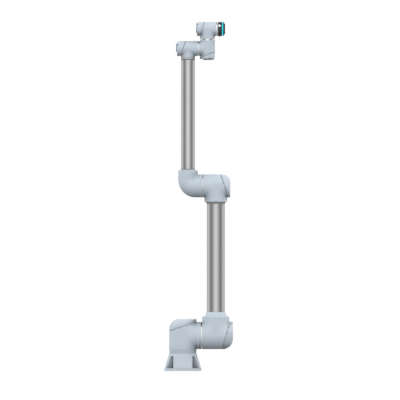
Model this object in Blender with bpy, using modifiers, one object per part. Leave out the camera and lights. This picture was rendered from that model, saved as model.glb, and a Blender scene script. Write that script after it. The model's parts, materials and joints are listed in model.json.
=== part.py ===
"""Six-axis collaborative robot arm, standing upright on its foot.

Sizes are in metres and +Z is up. The origin is the centre of the foot's underside, and the
arm stands in the XZ plane. Each joint is a hollow-shaft module: a cast housing round a
strain-wave gear, a frameless motor and a drive board, with an output flange at one end and
a slanted end cap at the other.
"""

import math
from dataclasses import dataclass

import bmesh
import bpy
from mathutils import Matrix, Vector

# Gaps between neighbours
TOUCH_GAP = 0.0003
RUNNING_GAP = 0.0004
PARTING_GAP = 0.0006

# Joint modules in three drive sizes: bore and wall of the housing, then what the bore holds
LARGE_BORE = 0.072
LARGE_WALL = 0.008
LARGE_GEAR_LENGTH = 0.042
LARGE_GEAR_WALL = 0.014
LARGE_STATOR_LENGTH = 0.040
LARGE_STATOR_WALL = 0.018
LARGE_BOARD_LENGTH = 0.012
LARGE_SHAFT_RADIUS = 0.020
MEDIUM_BORE = 0.0604
MEDIUM_WALL = 0.0068
MEDIUM_GEAR_LENGTH = 0.034
MEDIUM_GEAR_WALL = 0.012
MEDIUM_STATOR_LENGTH = 0.034
MEDIUM_STATOR_WALL = 0.015
MEDIUM_BOARD_LENGTH = 0.012
MEDIUM_SHAFT_RADIUS = 0.017
SMALL_BORE = 0.0375
SMALL_WALL = 0.0062
SMALL_GEAR_LENGTH = 0.022
SMALL_GEAR_WALL = 0.008
SMALL_STATOR_LENGTH = 0.022
SMALL_STATOR_WALL = 0.010
SMALL_BOARD_LENGTH = 0.009
SMALL_SHAFT_RADIUS = 0.010
WRIST_3_WALL = 0.0035

# Details that every module shares
GEAR_INSET = 0.001
LAND_LENGTH = 0.004
LAND_HEIGHT = 0.003
FLEX_WALL = 0.0022
FLEX_FLOOR = 0.005
FLEX_LIP = 0.002
GENERATOR_INSET = 0.010
SHAFT_WALL = 0.003
SHAFT_TAIL = 0.004
MAGNET_INSET = 0.002
SPIGOT_LENGTH = 0.008
SEAT_WALL = 0.0075
RING_INSET = 0.0008
PASSAGE_MARGIN = 0.004

# Slanted end caps: depth left on the shallow side, and the largest radius of the rim
CAP_WALL = 0.0035
CAP_SLOPE = math.radians(19.6)
SHOULDER_CAP_SLOPE = math.radians(17.4)
CAP_EDGE = 0.004
BASE_CAP_MARGIN = 0.0136
BASE_CAP_DEPTH = 0.0130
BASE_CAP_FILLET = 0.059
SHOULDER_CAP_MARGIN = 0.0164
SHOULDER_CAP_DEPTH = 0.0149
SHOULDER_CAP_FILLET = 0.059
ELBOW_CAP_MARGIN = 0.0165
ELBOW_CAP_DEPTH = 0.0092
ELBOW_CAP_FILLET = 0.048
WRIST_1_CAP_MARGIN = 0.0131
WRIST_1_CAP_DEPTH = 0.0199
WRIST_1_CAP_FILLET = 0.013
WRIST_2_CAP_MARGIN = 0.0077
WRIST_2_CAP_DEPTH = 0.0119
WRIST_2_CAP_FILLET = 0.012
WRIST_3_CAP_MARGIN = 0.0068
WRIST_3_CAP_DEPTH = 0.0158
WRIST_3_CAP_FILLET = 0.009
BOSS_HEIGHT = 0.0055
BOSS_OFFSET = 0.006
WRIST_1_BOSS_RADIUS = 0.025
WRIST_2_BOSS_RADIUS = 0.0308
WRIST_3_BOSS_RADIUS = 0.0286

# Visible thickness of the output flanges
BASE_RING = 0.0185
SHOULDER_RING = 0.0064
ELBOW_RING = 0.0082
WRIST_1_RING = 0.007
WRIST_2_RING = 0.010
WRIST_3_RING = 0.0076

# Foot
FOOT_RADIUS = 0.1085
FOOT_THICKNESS = 0.017
FOOT_LIP = 0.0015
COLUMN_HEIGHT = 0.103
POCKET_EDGE = 0.055
POCKET_HEADROOM = 0.017
POCKET_SINK = 0.0005
FOOT_WALL = 0.010
FOOT_BOLT_RADIUS = 0.0055
SOCKET_HEIGHT = 0.052
SOCKET_FLAT = 0.086
SOCKET_RADIUS = 0.0135
SOCKET_WALL = 0.0025
SOCKET_RIM = 0.005
SOCKET_RIM_THICKNESS = 0.003
SOCKET_COLLAR_LENGTH = 0.009
SOCKET_DEPTH = 0.014
SOCKET_POCKET_MARGIN = 0.003

# Links: clear lengths between neighbouring forms, and the two tubes
BRANCH_INSET = 0.0005
SHOULDER_NECK = 0.0074
SHOULDER_STUB = 0.0263
UPPER_ARM_MARGIN = 0.0008
UPPER_ARM_LENGTH = 0.878
UPPER_ARM_SOCKET = 0.0333
SOCKET_CHAMFER = 0.005
UPPER_ARM_CONE_HEIGHT = 0.024
UPPER_ARM_CONE_WALL = 0.0115
CONE_LIP = 0.0015
UPPER_TUBE_RADIUS = 0.053
UPPER_TUBE_WALL = 0.004
ELBOW_NECK = 0.0077
ELBOW_SOCKET = 0.0262
UPPER_COLLAR_HEIGHT = 0.011
UPPER_COLLAR_WALL = 0.0055
BEND_NECK = 0.0229
BEND_COLLAR_RADIUS = 0.0575
BEND_COLLAR_RISE = 0.021
BEND_COLLAR_CHAMFER = 0.0045
BEND_CONE_HEIGHT = 0.006
BEND_RADIUS = 0.042
BEND_OVERLAP = 0.003
BEND_CLEARANCE = 0.002
BEND_SWELL = 0.0002
BEND_CORE_RADIUS = 0.042
FOREARM_LENGTH = 0.8066
FOREARM_TUBE_RADIUS = 0.041
FOREARM_TUBE_WALL = 0.0035
TUBE_WEB = 0.004
WRIST_1_STUB = 0.0067
WRIST_1_STUB_WALL = 0.0065
FOREARM_COLLAR_HEIGHT = 0.016
FOREARM_COLLAR_WALL = 0.005
FOREARM_COLLAR_SPIGOT = 0.028
FOREARM_COLLAR_NECK = 0.005
WRIST_1_NECK = 0.0143
WRIST_2_NECK = 0.0053
WRIST_2_SHOULDER = 0.0039
WRIST_3_STUB = 0.0159
WRIST_3_NECK = 0.006

# Tool head, with its flange to the 50 mm four-bolt pattern
HEAD_LENGTH = 0.0282
HEAD_HOLE_RADIUS = 0.020
LIGHT_RING_WIDTH = 0.0065
LIGHT_RING_WALL = 0.005
FLANGE_DISC = 0.0053
FLANGE_BOSS_HEIGHT = 0.0057
FLANGE_BOSS_RADIUS = 0.0315
FLANGE_SPIGOT = 0.006
PILOT_RADIUS = 0.01575
PILOT_DEPTH = 0.006
BOLT_CIRCLE_RADIUS = 0.025
BOLT_HOLE_RADIUS = 0.003
BOLT_HOLE_DEPTH = 0.010
BUTTON_RADIUS = 0.007
BUTTON_PROUD = 0.0015
BUTTON_TRAVEL = 0.0015
BUTTON_LENGTH = 0.0067
BUTTON_ANGLE = math.radians(29)
BUTTON_STATION = 0.0137
CONNECTOR_RADIUS = 0.005
CONNECTOR_PROUD = 0.004
CONNECTOR_DEPTH = 0.006

# Number of sides of the round forms
SHELL_SIDES = 24
RING_SIDES = 20
DRIVE_SIDES = 12
ROUND_SIDES = 16
HOLE_SIDES = 8
FILLET_STEPS = 3
BEND_STEPS = 4

MERGE_DISTANCE = 0.00001
SHARP_ANGLE = math.radians(32)
CUT_MARGIN = 0.005
CUT_BLOCK = 0.6

# Forms that follow from the sizes above
LARGE_RADIUS = LARGE_BORE + LARGE_WALL
MEDIUM_RADIUS = MEDIUM_BORE + MEDIUM_WALL
SMALL_RADIUS = SMALL_BORE + SMALL_WALL
WRIST_3_RADIUS = SMALL_BORE + WRIST_3_WALL
FOOT_BORE = min(POCKET_EDGE * math.sqrt(2), LARGE_RADIUS) - FOOT_WALL

# Places of the joint axes and of the modules' output faces
BASE_FACE_Z = COLUMN_HEIGHT + BASE_RING
SHOULDER_Z = BASE_FACE_Z + SHOULDER_NECK + LARGE_RADIUS - BRANCH_INSET
SHOULDER_FACE_X = LARGE_RADIUS + SHOULDER_STUB + SHOULDER_RING
UPPER_ARM_X = SHOULDER_FACE_X + UPPER_ARM_MARGIN + LARGE_RADIUS
ELBOW_Z = SHOULDER_Z + UPPER_ARM_LENGTH
ELBOW_FACE_X = UPPER_ARM_X - MEDIUM_RADIUS - ELBOW_NECK
FOREARM_X = ELBOW_FACE_X - ELBOW_RING - BEND_NECK - BEND_COLLAR_RADIUS
WRIST_1_Z = ELBOW_Z + FOREARM_LENGTH
WRIST_1_FACE_X = FOREARM_X + SMALL_RADIUS + WRIST_1_NECK
WRIST_2_X = WRIST_1_FACE_X + WRIST_1_RING + WRIST_2_NECK + SMALL_RADIUS
WRIST_2_FACE_Z = WRIST_1_Z + SMALL_RADIUS + WRIST_2_SHOULDER
WRIST_3_Z = WRIST_2_FACE_Z + WRIST_2_RING + WRIST_3_STUB + WRIST_3_RADIUS
WRIST_3_FACE_X = WRIST_2_X + SMALL_RADIUS + WRIST_3_NECK

# Pieces of each moving body besides its joint modules' own
BODY_PIECES = {
    "base": ("base_foot", "base_cable_socket"),
    "shoulder": ("shoulder_housing",),
    "upper_arm": ("upper_arm_base_housing", "upper_arm_tube", "upper_arm_collar", "elbow_housing"),
    "forearm": ("forearm_bend", "forearm_tube", "forearm_collar", "wrist_1_housing"),
    "wrist_1": ("wrist_2_housing",),
    "wrist_2": ("wrist_3_housing",),
    "tool": ("tool_head", "tool_light_ring", "tool_flange", "tool_connector", "teach_button"),
}
HOUSING_PIECES = ("gear_unit", "motor_stator", "motor_shaft", "drive_board", "end_cap")
OUTPUT_PIECES = ("output_flange", "flexspline")

# Finish of each kind of piece: colour, roughness, metallic
FINISHES = {
    "body_paint": ((0.56, 0.62, 0.68), 0.45, 0.0),
    "tube_metal": ((0.55, 0.55, 0.55), 0.35, 1.0),
    "polished_ring": ((0.78, 0.79, 0.80), 0.15, 1.0),
    "black_plastic": ((0.03, 0.03, 0.03), 0.4, 0.0),
    "light_ring": ((0.01, 0.72, 0.86), 0.3, 0.0),
    "white_plastic": ((0.85, 0.85, 0.85), 0.4, 0.0),
    "gear_steel": ((0.42, 0.43, 0.45), 0.3, 1.0),
    "motor_copper": ((0.60, 0.28, 0.14), 0.4, 1.0),
    "circuit_board": ((0.02, 0.18, 0.09), 0.5, 0.0),
}

UP = Vector((0, 0, 1))
RIGHT = Vector((1, 0, 0))
BACK = Vector((0, 1, 0))


def turning_radius(bore):
    """Largest radius that turns freely in a drive's bore of flat sides."""
    return bore * math.cos(math.pi / DRIVE_SIDES) - RUNNING_GAP


def bore_for(radius):
    """A drive's bore of flat sides in which a shaft of this radius turns freely."""
    return (radius + RUNNING_GAP) / math.cos(math.pi / DRIVE_SIDES)


@dataclass(frozen=True)
class Drive:
    """What a housing's bore holds. Depths run from the module's output face into the bore."""

    bore: float
    gear_length: float
    gear_wall: float
    stator_length: float
    stator_wall: float
    board_length: float
    shaft_radius: float

    @property
    def filling(self):
        return self.bore - TOUCH_GAP

    @property
    def gear_bore(self):
        return self.filling - self.gear_wall

    @property
    def gear_end(self):
        return GEAR_INSET + self.gear_length

    @property
    def stator_start(self):
        return self.gear_end + LAND_LENGTH + 2 * TOUCH_GAP

    @property
    def stator_end(self):
        return self.stator_start + self.stator_length

    @property
    def board_end(self):
        return self.stator_end + TOUCH_GAP + self.board_length

    @property
    def shaft_hole(self):
        return bore_for(self.shaft_radius)


LARGE = Drive(LARGE_BORE, LARGE_GEAR_LENGTH, LARGE_GEAR_WALL, LARGE_STATOR_LENGTH,
              LARGE_STATOR_WALL, LARGE_BOARD_LENGTH, LARGE_SHAFT_RADIUS)
MEDIUM = Drive(MEDIUM_BORE, MEDIUM_GEAR_LENGTH, MEDIUM_GEAR_WALL, MEDIUM_STATOR_LENGTH,
               MEDIUM_STATOR_WALL, MEDIUM_BOARD_LENGTH, MEDIUM_SHAFT_RADIUS)
SMALL = Drive(SMALL_BORE, SMALL_GEAR_LENGTH, SMALL_GEAR_WALL, SMALL_STATOR_LENGTH,
              SMALL_STATOR_WALL, SMALL_BOARD_LENGTH, SMALL_SHAFT_RADIUS)


@dataclass(frozen=True)
class Module:
    """A joint module. In its frame +Z points to the output and +X to the cap's deep side."""

    name: str
    drive: Drive
    radius: float
    face: tuple
    output: Vector
    deep_side: Vector
    ring: float
    seat: float
    cap_margin: float
    cap_depth: float
    cap_fillet: float
    housing_body: str
    output_body: str
    cap_slope: float = CAP_SLOPE
    boss_radius: float = 0.0

    @property
    def frame(self):
        across = self.output.cross(self.deep_side)
        turn = Matrix((self.deep_side, across, self.output)).transposed()
        return Matrix.Translation(self.face) @ turn.to_4x4()

    @property
    def parting(self):
        """Depth of the cap's parting plane on its deep side."""
        return self.drive.board_end + self.cap_margin

    @property
    def cap_end(self):
        return self.parting + 2 * self.radius * math.tan(self.cap_slope) + self.cap_depth

    def parting_at(self, x):
        """Depth of the parting plane at a distance towards the cap's deep side."""
        return self.parting + (self.radius - x) * math.tan(self.cap_slope)


BASE = Module("base_joint", LARGE, LARGE_RADIUS, (0, 0, BASE_FACE_Z), -UP, -RIGHT,
              BASE_RING, FOOT_BORE, BASE_CAP_MARGIN, BASE_CAP_DEPTH, BASE_CAP_FILLET,
              "shoulder", "base")
SHOULDER = Module("shoulder_joint", LARGE, LARGE_RADIUS, (SHOULDER_FACE_X, 0, SHOULDER_Z),
                  -RIGHT, -UP, SHOULDER_RING, LARGE_RADIUS - SEAT_WALL, SHOULDER_CAP_MARGIN,
                  SHOULDER_CAP_DEPTH, SHOULDER_CAP_FILLET, "upper_arm", "shoulder",
                  SHOULDER_CAP_SLOPE)
ELBOW = Module("elbow_joint", MEDIUM, MEDIUM_RADIUS, (ELBOW_FACE_X, 0, ELBOW_Z),
               -RIGHT, UP, ELBOW_RING, MEDIUM_RADIUS - SEAT_WALL, ELBOW_CAP_MARGIN,
               ELBOW_CAP_DEPTH, ELBOW_CAP_FILLET, "upper_arm", "forearm")
WRIST_1 = Module("wrist_1_joint", SMALL, SMALL_RADIUS, (WRIST_1_FACE_X, 0, WRIST_1_Z),
                 RIGHT, UP, WRIST_1_RING, SMALL_RADIUS - SEAT_WALL, WRIST_1_CAP_MARGIN,
                 WRIST_1_CAP_DEPTH, WRIST_1_CAP_FILLET, "forearm", "wrist_1",
                 boss_radius=WRIST_1_BOSS_RADIUS)
WRIST_2 = Module("wrist_2_joint", SMALL, SMALL_RADIUS, (WRIST_2_X, 0, WRIST_2_FACE_Z),
                 UP, RIGHT, WRIST_2_RING, SMALL_RADIUS - SEAT_WALL, WRIST_2_CAP_MARGIN,
                 WRIST_2_CAP_DEPTH, WRIST_2_CAP_FILLET, "wrist_1", "wrist_2",
                 boss_radius=WRIST_2_BOSS_RADIUS)
WRIST_3 = Module("wrist_3_joint", SMALL, WRIST_3_RADIUS, (WRIST_3_FACE_X, 0, WRIST_3_Z),
                 RIGHT, UP, WRIST_3_RING, WRIST_3_RADIUS - SEAT_WALL, WRIST_3_CAP_MARGIN,
                 WRIST_3_CAP_DEPTH, WRIST_3_CAP_FILLET, "wrist_2", "tool",
                 boss_radius=WRIST_3_BOSS_RADIUS)
MODULES = (BASE, SHOULDER, ELBOW, WRIST_1, WRIST_2, WRIST_3)


# Scene helpers


def clear_scene():
    for obj in list(bpy.data.objects):
        bpy.data.objects.remove(obj, do_unlink=True)


def new_collection(name):
    collection = bpy.data.collections.new(name)
    bpy.context.scene.collection.children.link(collection)
    return collection


clear_scene()
ARM = new_collection("collaborative_robot_arm")
CUTTERS = new_collection("cutters")


def new_material(name):
    colour, roughness, metallic = FINISHES[name]
    material = bpy.data.materials.new(name)
    material.use_nodes = True
    shader = material.node_tree.nodes["Principled BSDF"]
    shader.inputs["Base Color"].default_value = (*colour, 1.0)
    shader.inputs["Roughness"].default_value = roughness
    shader.inputs["Metallic"].default_value = metallic
    return material


MATERIALS = {name: new_material(name) for name in FINISHES}


def add_object(name, mesh, frame, finish):
    """Place a mesh as a piece of the arm, or as a cutter where it has no finish."""
    obj = bpy.data.objects.new(name, mesh)
    obj.matrix_world = frame
    if finish:
        ARM.objects.link(obj)
        mesh.materials.append(MATERIALS[finish])
    else:
        CUTTERS.objects.link(obj)
        obj.hide_render = True
        obj.display_type = "WIRE"
    return obj


def turned(name, profile, sides, frame, finish=None, ring=False):
    """Turn (radius, height) points, which run down the outer side, about the frame's Z axis."""
    points = [(radius, 0.0, height) for radius, height in profile]
    edges = [(i, i + 1) for i in range(len(points) - 1)]
    if ring:
        edges.append((len(points) - 1, 0))
    mesh = bpy.data.meshes.new(name)
    mesh.from_pydata(points, edges, [])
    obj = add_object(name, mesh, frame, finish)
    screw = obj.modifiers.new("turn", "SCREW")
    screw.angle = math.tau
    screw.steps = sides
    screw.render_steps = sides
    screw.use_merge_vertices = True
    screw.merge_threshold = MERGE_DISTANCE
    return obj


def rod(name, radius, low, high, sides, frame, finish=None):
    """A plain round bar between two heights."""
    mesh = bpy.data.meshes.new(name)
    bm = bmesh.new()
    middle = Matrix.Translation((0, 0, (low + high) / 2))
    bmesh.ops.create_cone(bm, cap_ends=True, segments=sides, radius1=radius, radius2=radius,
                          depth=high - low, matrix=middle)
    bm.to_mesh(mesh)
    bm.free()
    return add_object(name, mesh, frame, finish)


def tube(name, outer, inner, low, high, sides, frame, finish):
    """A plain round ring or tube between two heights."""
    profile = [(outer, high), (outer, low), (inner, low), (inner, high)]
    return turned(name, profile, sides, frame, finish, ring=True)


def block(name, low, high, frame):
    """A box cutter between two corners."""
    low = Vector(low)
    high = Vector(high)
    mesh = bpy.data.meshes.new(name)
    bm = bmesh.new()
    bmesh.ops.create_cube(bm, size=1.0)
    bmesh.ops.scale(bm, vec=high - low, verts=bm.verts)
    bmesh.ops.translate(bm, vec=(high + low) / 2, verts=bm.verts)
    bm.to_mesh(mesh)
    bm.free()
    return add_object(name, mesh, frame, None)


def four_corners(cutter):
    """Repeat a cutter in the four corners about the Z axis."""
    mirror = cutter.modifiers.new("corners", "MIRROR")
    mirror.use_axis = (True, True, False)
    mirror.merge_threshold = MERGE_DISTANCE
    return cutter


def combine(obj, other, operation):
    modifier = obj.modifiers.new(other.name, "BOOLEAN")
    modifier.operation = operation
    modifier.solver = "EXACT"
    modifier.object = other


def cut(obj, *cutters):
    for cutter in cutters:
        combine(obj, cutter, "DIFFERENCE")


def join(obj, *others):
    for other in others:
        combine(obj, other, "UNION")


def upright(x, z):
    return Matrix.Translation((x, 0, z))


def half_step(frame, sides):
    """Turn a frame so that a round form's sides face where its corners would."""
    return frame @ Matrix.Rotation(math.pi / sides, 4, "Z")


def pointing(direction, origin):
    """Frame whose +Z points along a direction."""
    turn = Vector(direction).to_track_quat("Z", "Y").to_matrix().to_4x4()
    return Matrix.Translation(origin) @ turn


# Inside of a joint module


def gear_unit(module):
    """Circular spline with the output bearing's outer ring, pressed into the housing."""
    drive = module.drive
    tube(module.name + "_gear_unit", drive.filling, drive.gear_bore, -drive.gear_end, -GEAR_INSET,
         DRIVE_SIDES, module.frame, "gear_steel")


def flexspline(module):
    """Thin toothed cup, bolted to the inner face of the output flange."""
    drive = module.drive
    outer = turning_radius(drive.gear_bore)
    inner = outer - FLEX_WALL
    rear = -drive.gear_end + FLEX_LIP
    profile = [(outer, 0), (outer, rear), (inner, rear), (inner, -FLEX_FLOOR),
               (drive.shaft_hole, -FLEX_FLOOR), (drive.shaft_hole, 0)]
    turned(module.name + "_flexspline", profile, DRIVE_SIDES, module.frame, "gear_steel", ring=True)


def motor_stator(module):
    drive = module.drive
    tube(module.name + "_motor_stator", drive.filling, drive.filling - drive.stator_wall,
         -drive.stator_end, -drive.stator_start, DRIVE_SIDES, module.frame, "motor_copper")


def motor_shaft(module):
    """Hollow shaft with the wave generator in the flexspline and the magnets in the stator."""
    drive = module.drive
    shaft = drive.shaft_radius
    flex_inner = turning_radius(drive.gear_bore) - FLEX_WALL
    generator = turning_radius(flex_inner)
    magnets = turning_radius(drive.filling - drive.stator_wall)
    generator_front = -FLEX_FLOOR - GENERATOR_INSET
    generator_rear = -drive.gear_end + FLEX_LIP
    magnet_front = -drive.stator_start - MAGNET_INSET
    magnet_rear = -drive.stator_end + MAGNET_INSET
    rear = -drive.board_end - SHAFT_TAIL
    hole = shaft - SHAFT_WALL
    profile = [(generator, generator_front), (generator, generator_rear), (shaft, generator_rear),
               (shaft, magnet_front), (magnets, magnet_front), (magnets, magnet_rear),
               (shaft, magnet_rear), (shaft, rear), (hole, rear), (hole, generator_front)]
    turned(module.name + "_motor_shaft", profile, DRIVE_SIDES, half_step(module.frame, DRIVE_SIDES),
           "gear_steel", ring=True)


def drive_board(module):
    """Round board with the brake, encoder and motor drive, behind the stator."""
    drive = module.drive
    tube(module.name + "_drive_board", drive.filling, drive.shaft_hole, -drive.board_end,
         -drive.stator_end - TOUCH_GAP, DRIVE_SIDES, module.frame, "circuit_board")


def output_flange(module, finish):
    """Flange between the module and what it turns. Its rim shows as a ring in the seam."""
    drive = module.drive
    rim = module.radius - RING_INSET
    spigot = module.seat - TOUCH_GAP
    top = module.ring + SPIGOT_LENGTH
    rim_top = module.ring - TOUCH_GAP
    profile = [(spigot, top), (spigot, rim_top), (rim, rim_top), (rim, TOUCH_GAP),
               (drive.shaft_hole, TOUCH_GAP), (drive.shaft_hole, top)]
    turned(module.name + "_output_flange", profile, RING_SIDES, module.frame, finish, ring=True)


# Shell of a joint module


def cap_surface(module, inset, bends):
    """Rings of points from the parting plane, over the rim's changing radius, to the end face."""
    radius = module.radius - inset
    end = module.cap_end - inset
    rings = [[] for _ in range(len(bends) + 1)]
    for i in range(SHELL_SIDES):
        angle = math.tau * i / SHELL_SIDES
        edge = module.parting_at(radius * math.cos(angle)) + PARTING_GAP / 2
        deep = (1 + math.cos(angle)) / 2
        fillet = CAP_EDGE + (module.cap_fillet - CAP_EDGE) * deep
        fillet = min(fillet, module.cap_end - edge - CAP_EDGE / 2)
        fillet = max(fillet - inset, CAP_EDGE / 4)
        section = [(radius, edge)]
        for bend in bends:
            reach = radius - fillet * (1 - math.cos(bend))
            section.append((reach, end - fillet * (1 - math.sin(bend))))
        for ring, (reach, depth) in zip(rings, section):
            ring.append(Vector((reach * math.cos(angle), reach * math.sin(angle), -depth)))
    return rings, Vector((0, 0, -end))


def bridge(bm, ring_a, ring_b):
    for i in range(len(ring_a)):
        j = (i + 1) % len(ring_a)
        bm.faces.new((ring_a[i], ring_a[j], ring_b[j], ring_b[i]))


def close(bm, ring, centre):
    for i in range(len(ring)):
        bm.faces.new((ring[i], ring[(i + 1) % len(ring)], centre))


def end_cap(module):
    """Moulded cap: a shell lofted over a rim whose radius grows towards its deep side."""
    bm = bmesh.new()
    edges = []
    quarter = math.pi / 2
    outside = [quarter * step / FILLET_STEPS for step in range(FILLET_STEPS + 1)]
    for inset, bends in ((0.0, outside), (CAP_WALL, [quarter])):
        rings, centre = cap_surface(module, inset, bends)
        rings = [[bm.verts.new(point) for point in ring] for ring in rings]
        for ring_a, ring_b in zip(rings, rings[1:]):
            bridge(bm, ring_a, ring_b)
        close(bm, rings[-1], bm.verts.new(centre))
        edges.append(rings[0])
    bridge(bm, edges[0], edges[1])
    bmesh.ops.recalc_face_normals(bm, faces=bm.faces)
    mesh = bpy.data.meshes.new(module.name + "_end_cap")
    bm.to_mesh(mesh)
    bm.free()
    cap = add_object(module.name + "_end_cap", mesh, module.frame, "body_paint")
    if module.boss_radius:
        place = module.frame @ Matrix.Translation((BOSS_OFFSET, 0, -module.cap_end))
        join(cap, rod(module.name + "_boss", module.boss_radius, -BOSS_HEIGHT, CAP_WALL / 2,
                      ROUND_SIDES, place))


def drive_bore(module):
    """Cutter of the housing's bore, with a land between the gear unit and the stator."""
    drive = module.drive
    land = drive.bore - LAND_HEIGHT
    land_front = -drive.gear_end - TOUCH_GAP
    land_rear = land_front - LAND_LENGTH
    end = -module.cap_end - CUT_MARGIN
    profile = [(0, CUT_MARGIN), (drive.bore, CUT_MARGIN), (drive.bore, land_front), (land, land_front),
               (land, land_rear), (drive.bore, land_rear), (drive.bore, end), (0, end)]
    return turned(module.name + "_bore", profile, DRIVE_SIDES, module.frame)


def parting_cut(module):
    """Cutter that leaves the housing on its own side of the cap's slanted plane."""
    centre = -module.parting_at(0) + PARTING_GAP / 2
    tilt = Matrix.Rotation(-module.cap_slope, 4, "Y")
    frame = module.frame @ Matrix.Translation((0, 0, centre)) @ tilt
    half = CUT_BLOCK / 2
    return block(module.name + "_parting", (-half, -half, -CUT_BLOCK), (half, half, 0), frame)


def seat_depth(module):
    return module.ring + SPIGOT_LENGTH + TOUCH_GAP


def seat_cut(module, depth):
    """Cutter of the seat for the output flange's spigot, in the piece that the module turns."""
    return rod(module.name + "_seat", module.seat, module.ring - CUT_MARGIN, depth,
               RING_SIDES, module.frame)


def passage_cut(module, depth):
    """Cutter of the cable passage from the output flange's seat, to a depth along its axis."""
    return rod(module.name + "_passage", module.drive.shaft_hole + PASSAGE_MARGIN, module.ring, depth,
               ROUND_SIDES, module.frame)


def module_branch(module, length):
    """Round stub from the output flange's ring along its axis."""
    return rod(module.name + "_branch", module.radius - BRANCH_INSET, module.ring,
               module.ring + length, SHELL_SIDES, module.frame)


def module_housing(name, module, branches, cutters):
    """Cast barrel with its branches, cut to the cap's plane and bored for the drive."""
    barrel = rod(name, module.radius, -module.cap_end, 0, SHELL_SIDES, module.frame, "body_paint")
    join(barrel, *branches)
    cut(barrel, parting_cut(module), drive_bore(module), *cutters)


# Foot


def base_foot():
    """Flared foot with four bolt pockets and a flat for the cable socket at its back."""
    ground = upright(0, 0)
    skirt = FOOT_RADIUS - FOOT_LIP
    profile = [(0, COLUMN_HEIGHT), (LARGE_RADIUS, COLUMN_HEIGHT), (skirt, FOOT_THICKNESS),
               (FOOT_RADIUS, FOOT_THICKNESS), (FOOT_RADIUS, 0), (0, 0)]
    foot = turned("base_foot", profile, SHELL_SIDES, half_step(ground, SHELL_SIDES), "body_paint")
    bore = seat_cut(BASE, BASE_FACE_Z - FOOT_THICKNESS)
    reach = FOOT_RADIUS + CUT_MARGIN
    pockets = four_corners(block("foot_pockets", (POCKET_EDGE, POCKET_EDGE, FOOT_THICKNESS - POCKET_SINK),
                                 (reach, reach, COLUMN_HEIGHT - POCKET_HEADROOM), ground))
    bolt = (POCKET_EDGE * math.sqrt(2) + FOOT_RADIUS) / 2 * math.sqrt(0.5)
    holes = bolt_holes("foot_bolt_holes", bolt, FOOT_BOLT_RADIUS, -CUT_MARGIN,
                       FOOT_THICKNESS + CUT_MARGIN, ground)
    half = SOCKET_RADIUS + SOCKET_RIM + SOCKET_POCKET_MARGIN
    flat = block("socket_flat", (-half, SOCKET_FLAT, SOCKET_HEIGHT - half),
                 (half, reach, SOCKET_HEIGHT + half), ground)
    outlet = rod("socket_outlet", SOCKET_RADIUS + TOUCH_GAP, -SOCKET_FLAT, CUT_MARGIN, ROUND_SIDES,
                 pointing(BACK, (0, SOCKET_FLAT, SOCKET_HEIGHT)))
    cut(foot, bore, pockets, holes, flat, outlet)


def bolt_holes(name, offset, radius, low, high, frame):
    """Cutter of four round holes, one in each corner of a square."""
    mesh = bpy.data.meshes.new(name)
    bm = bmesh.new()
    place = Matrix.Translation((offset, offset, (low + high) / 2))
    bmesh.ops.create_cone(bm, cap_ends=True, segments=HOLE_SIDES, radius1=radius, radius2=radius,
                          depth=high - low, matrix=place)
    bm.to_mesh(mesh)
    bm.free()
    return four_corners(add_object(name, mesh, frame, None))


def base_cable_socket():
    """Round cable socket, screwed to the flat at the back of the foot."""
    rim = SOCKET_RADIUS + SOCKET_RIM
    rim_top = TOUCH_GAP + SOCKET_RIM_THICKNESS
    collar = rim_top + SOCKET_COLLAR_LENGTH
    inner = SOCKET_RADIUS - SOCKET_WALL
    profile = [(0, TOUCH_GAP), (inner, TOUCH_GAP), (inner, collar), (SOCKET_RADIUS, collar),
               (SOCKET_RADIUS, rim_top), (rim, rim_top), (rim, TOUCH_GAP), (SOCKET_RADIUS, TOUCH_GAP),
               (SOCKET_RADIUS, -SOCKET_DEPTH), (0, -SOCKET_DEPTH)]
    turned("base_cable_socket", profile, ROUND_SIDES, pointing(BACK, (0, SOCKET_FLAT, SOCKET_HEIGHT)),
           "black_plastic")


# Links


def shoulder_housing():
    branch = module_branch(SHOULDER, SHOULDER_STUB + LARGE_RADIUS)
    passage = passage_cut(SHOULDER, SHOULDER.ring + SHOULDER_STUB + LARGE_RADIUS)
    module_housing("shoulder_housing", BASE, [branch], [seat_cut(SHOULDER, seat_depth(SHOULDER)), passage])


def tube_frame(x, z):
    """Frame of a link's tube and of the sockets that hold it."""
    return half_step(upright(x, z), SHELL_SIDES)


def upper_arm_base_housing():
    top = LARGE_RADIUS + UPPER_ARM_SOCKET
    radius = LARGE_RADIUS - BRANCH_INSET
    cone = UPPER_TUBE_RADIUS + UPPER_ARM_CONE_WALL
    lip = UPPER_TUBE_RADIUS + CONE_LIP
    profile = [(0, top + UPPER_ARM_CONE_HEIGHT), (lip, top + UPPER_ARM_CONE_HEIGHT), (cone, top),
               (radius - SOCKET_CHAMFER, top), (radius, top - SOCKET_CHAMFER), (radius, 0), (0, 0)]
    frame = upright(UPPER_ARM_X, SHOULDER_Z)
    branch = turned("upper_arm_branch", profile, SHELL_SIDES, frame)
    socket = rod("upper_arm_socket", UPPER_TUBE_RADIUS + TOUCH_GAP, LARGE_BORE + TUBE_WEB,
                 top + UPPER_ARM_CONE_HEIGHT + CUT_MARGIN, SHELL_SIDES,
                 tube_frame(UPPER_ARM_X, SHOULDER_Z))
    passage = rod("upper_arm_passage", LARGE.shaft_hole + PASSAGE_MARGIN, 0, top, ROUND_SIDES, frame)
    module_housing("upper_arm_base_housing", SHOULDER, [branch], [socket, passage])


def upper_arm_tube():
    low = SHOULDER_Z + LARGE_BORE + TUBE_WEB + TOUCH_GAP
    high = ELBOW_Z - MEDIUM_BORE - TUBE_WEB - TOUCH_GAP
    tube("upper_arm_tube", UPPER_TUBE_RADIUS, UPPER_TUBE_RADIUS - UPPER_TUBE_WALL, low, high,
         SHELL_SIDES, tube_frame(UPPER_ARM_X, 0), "tube_metal")


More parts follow.
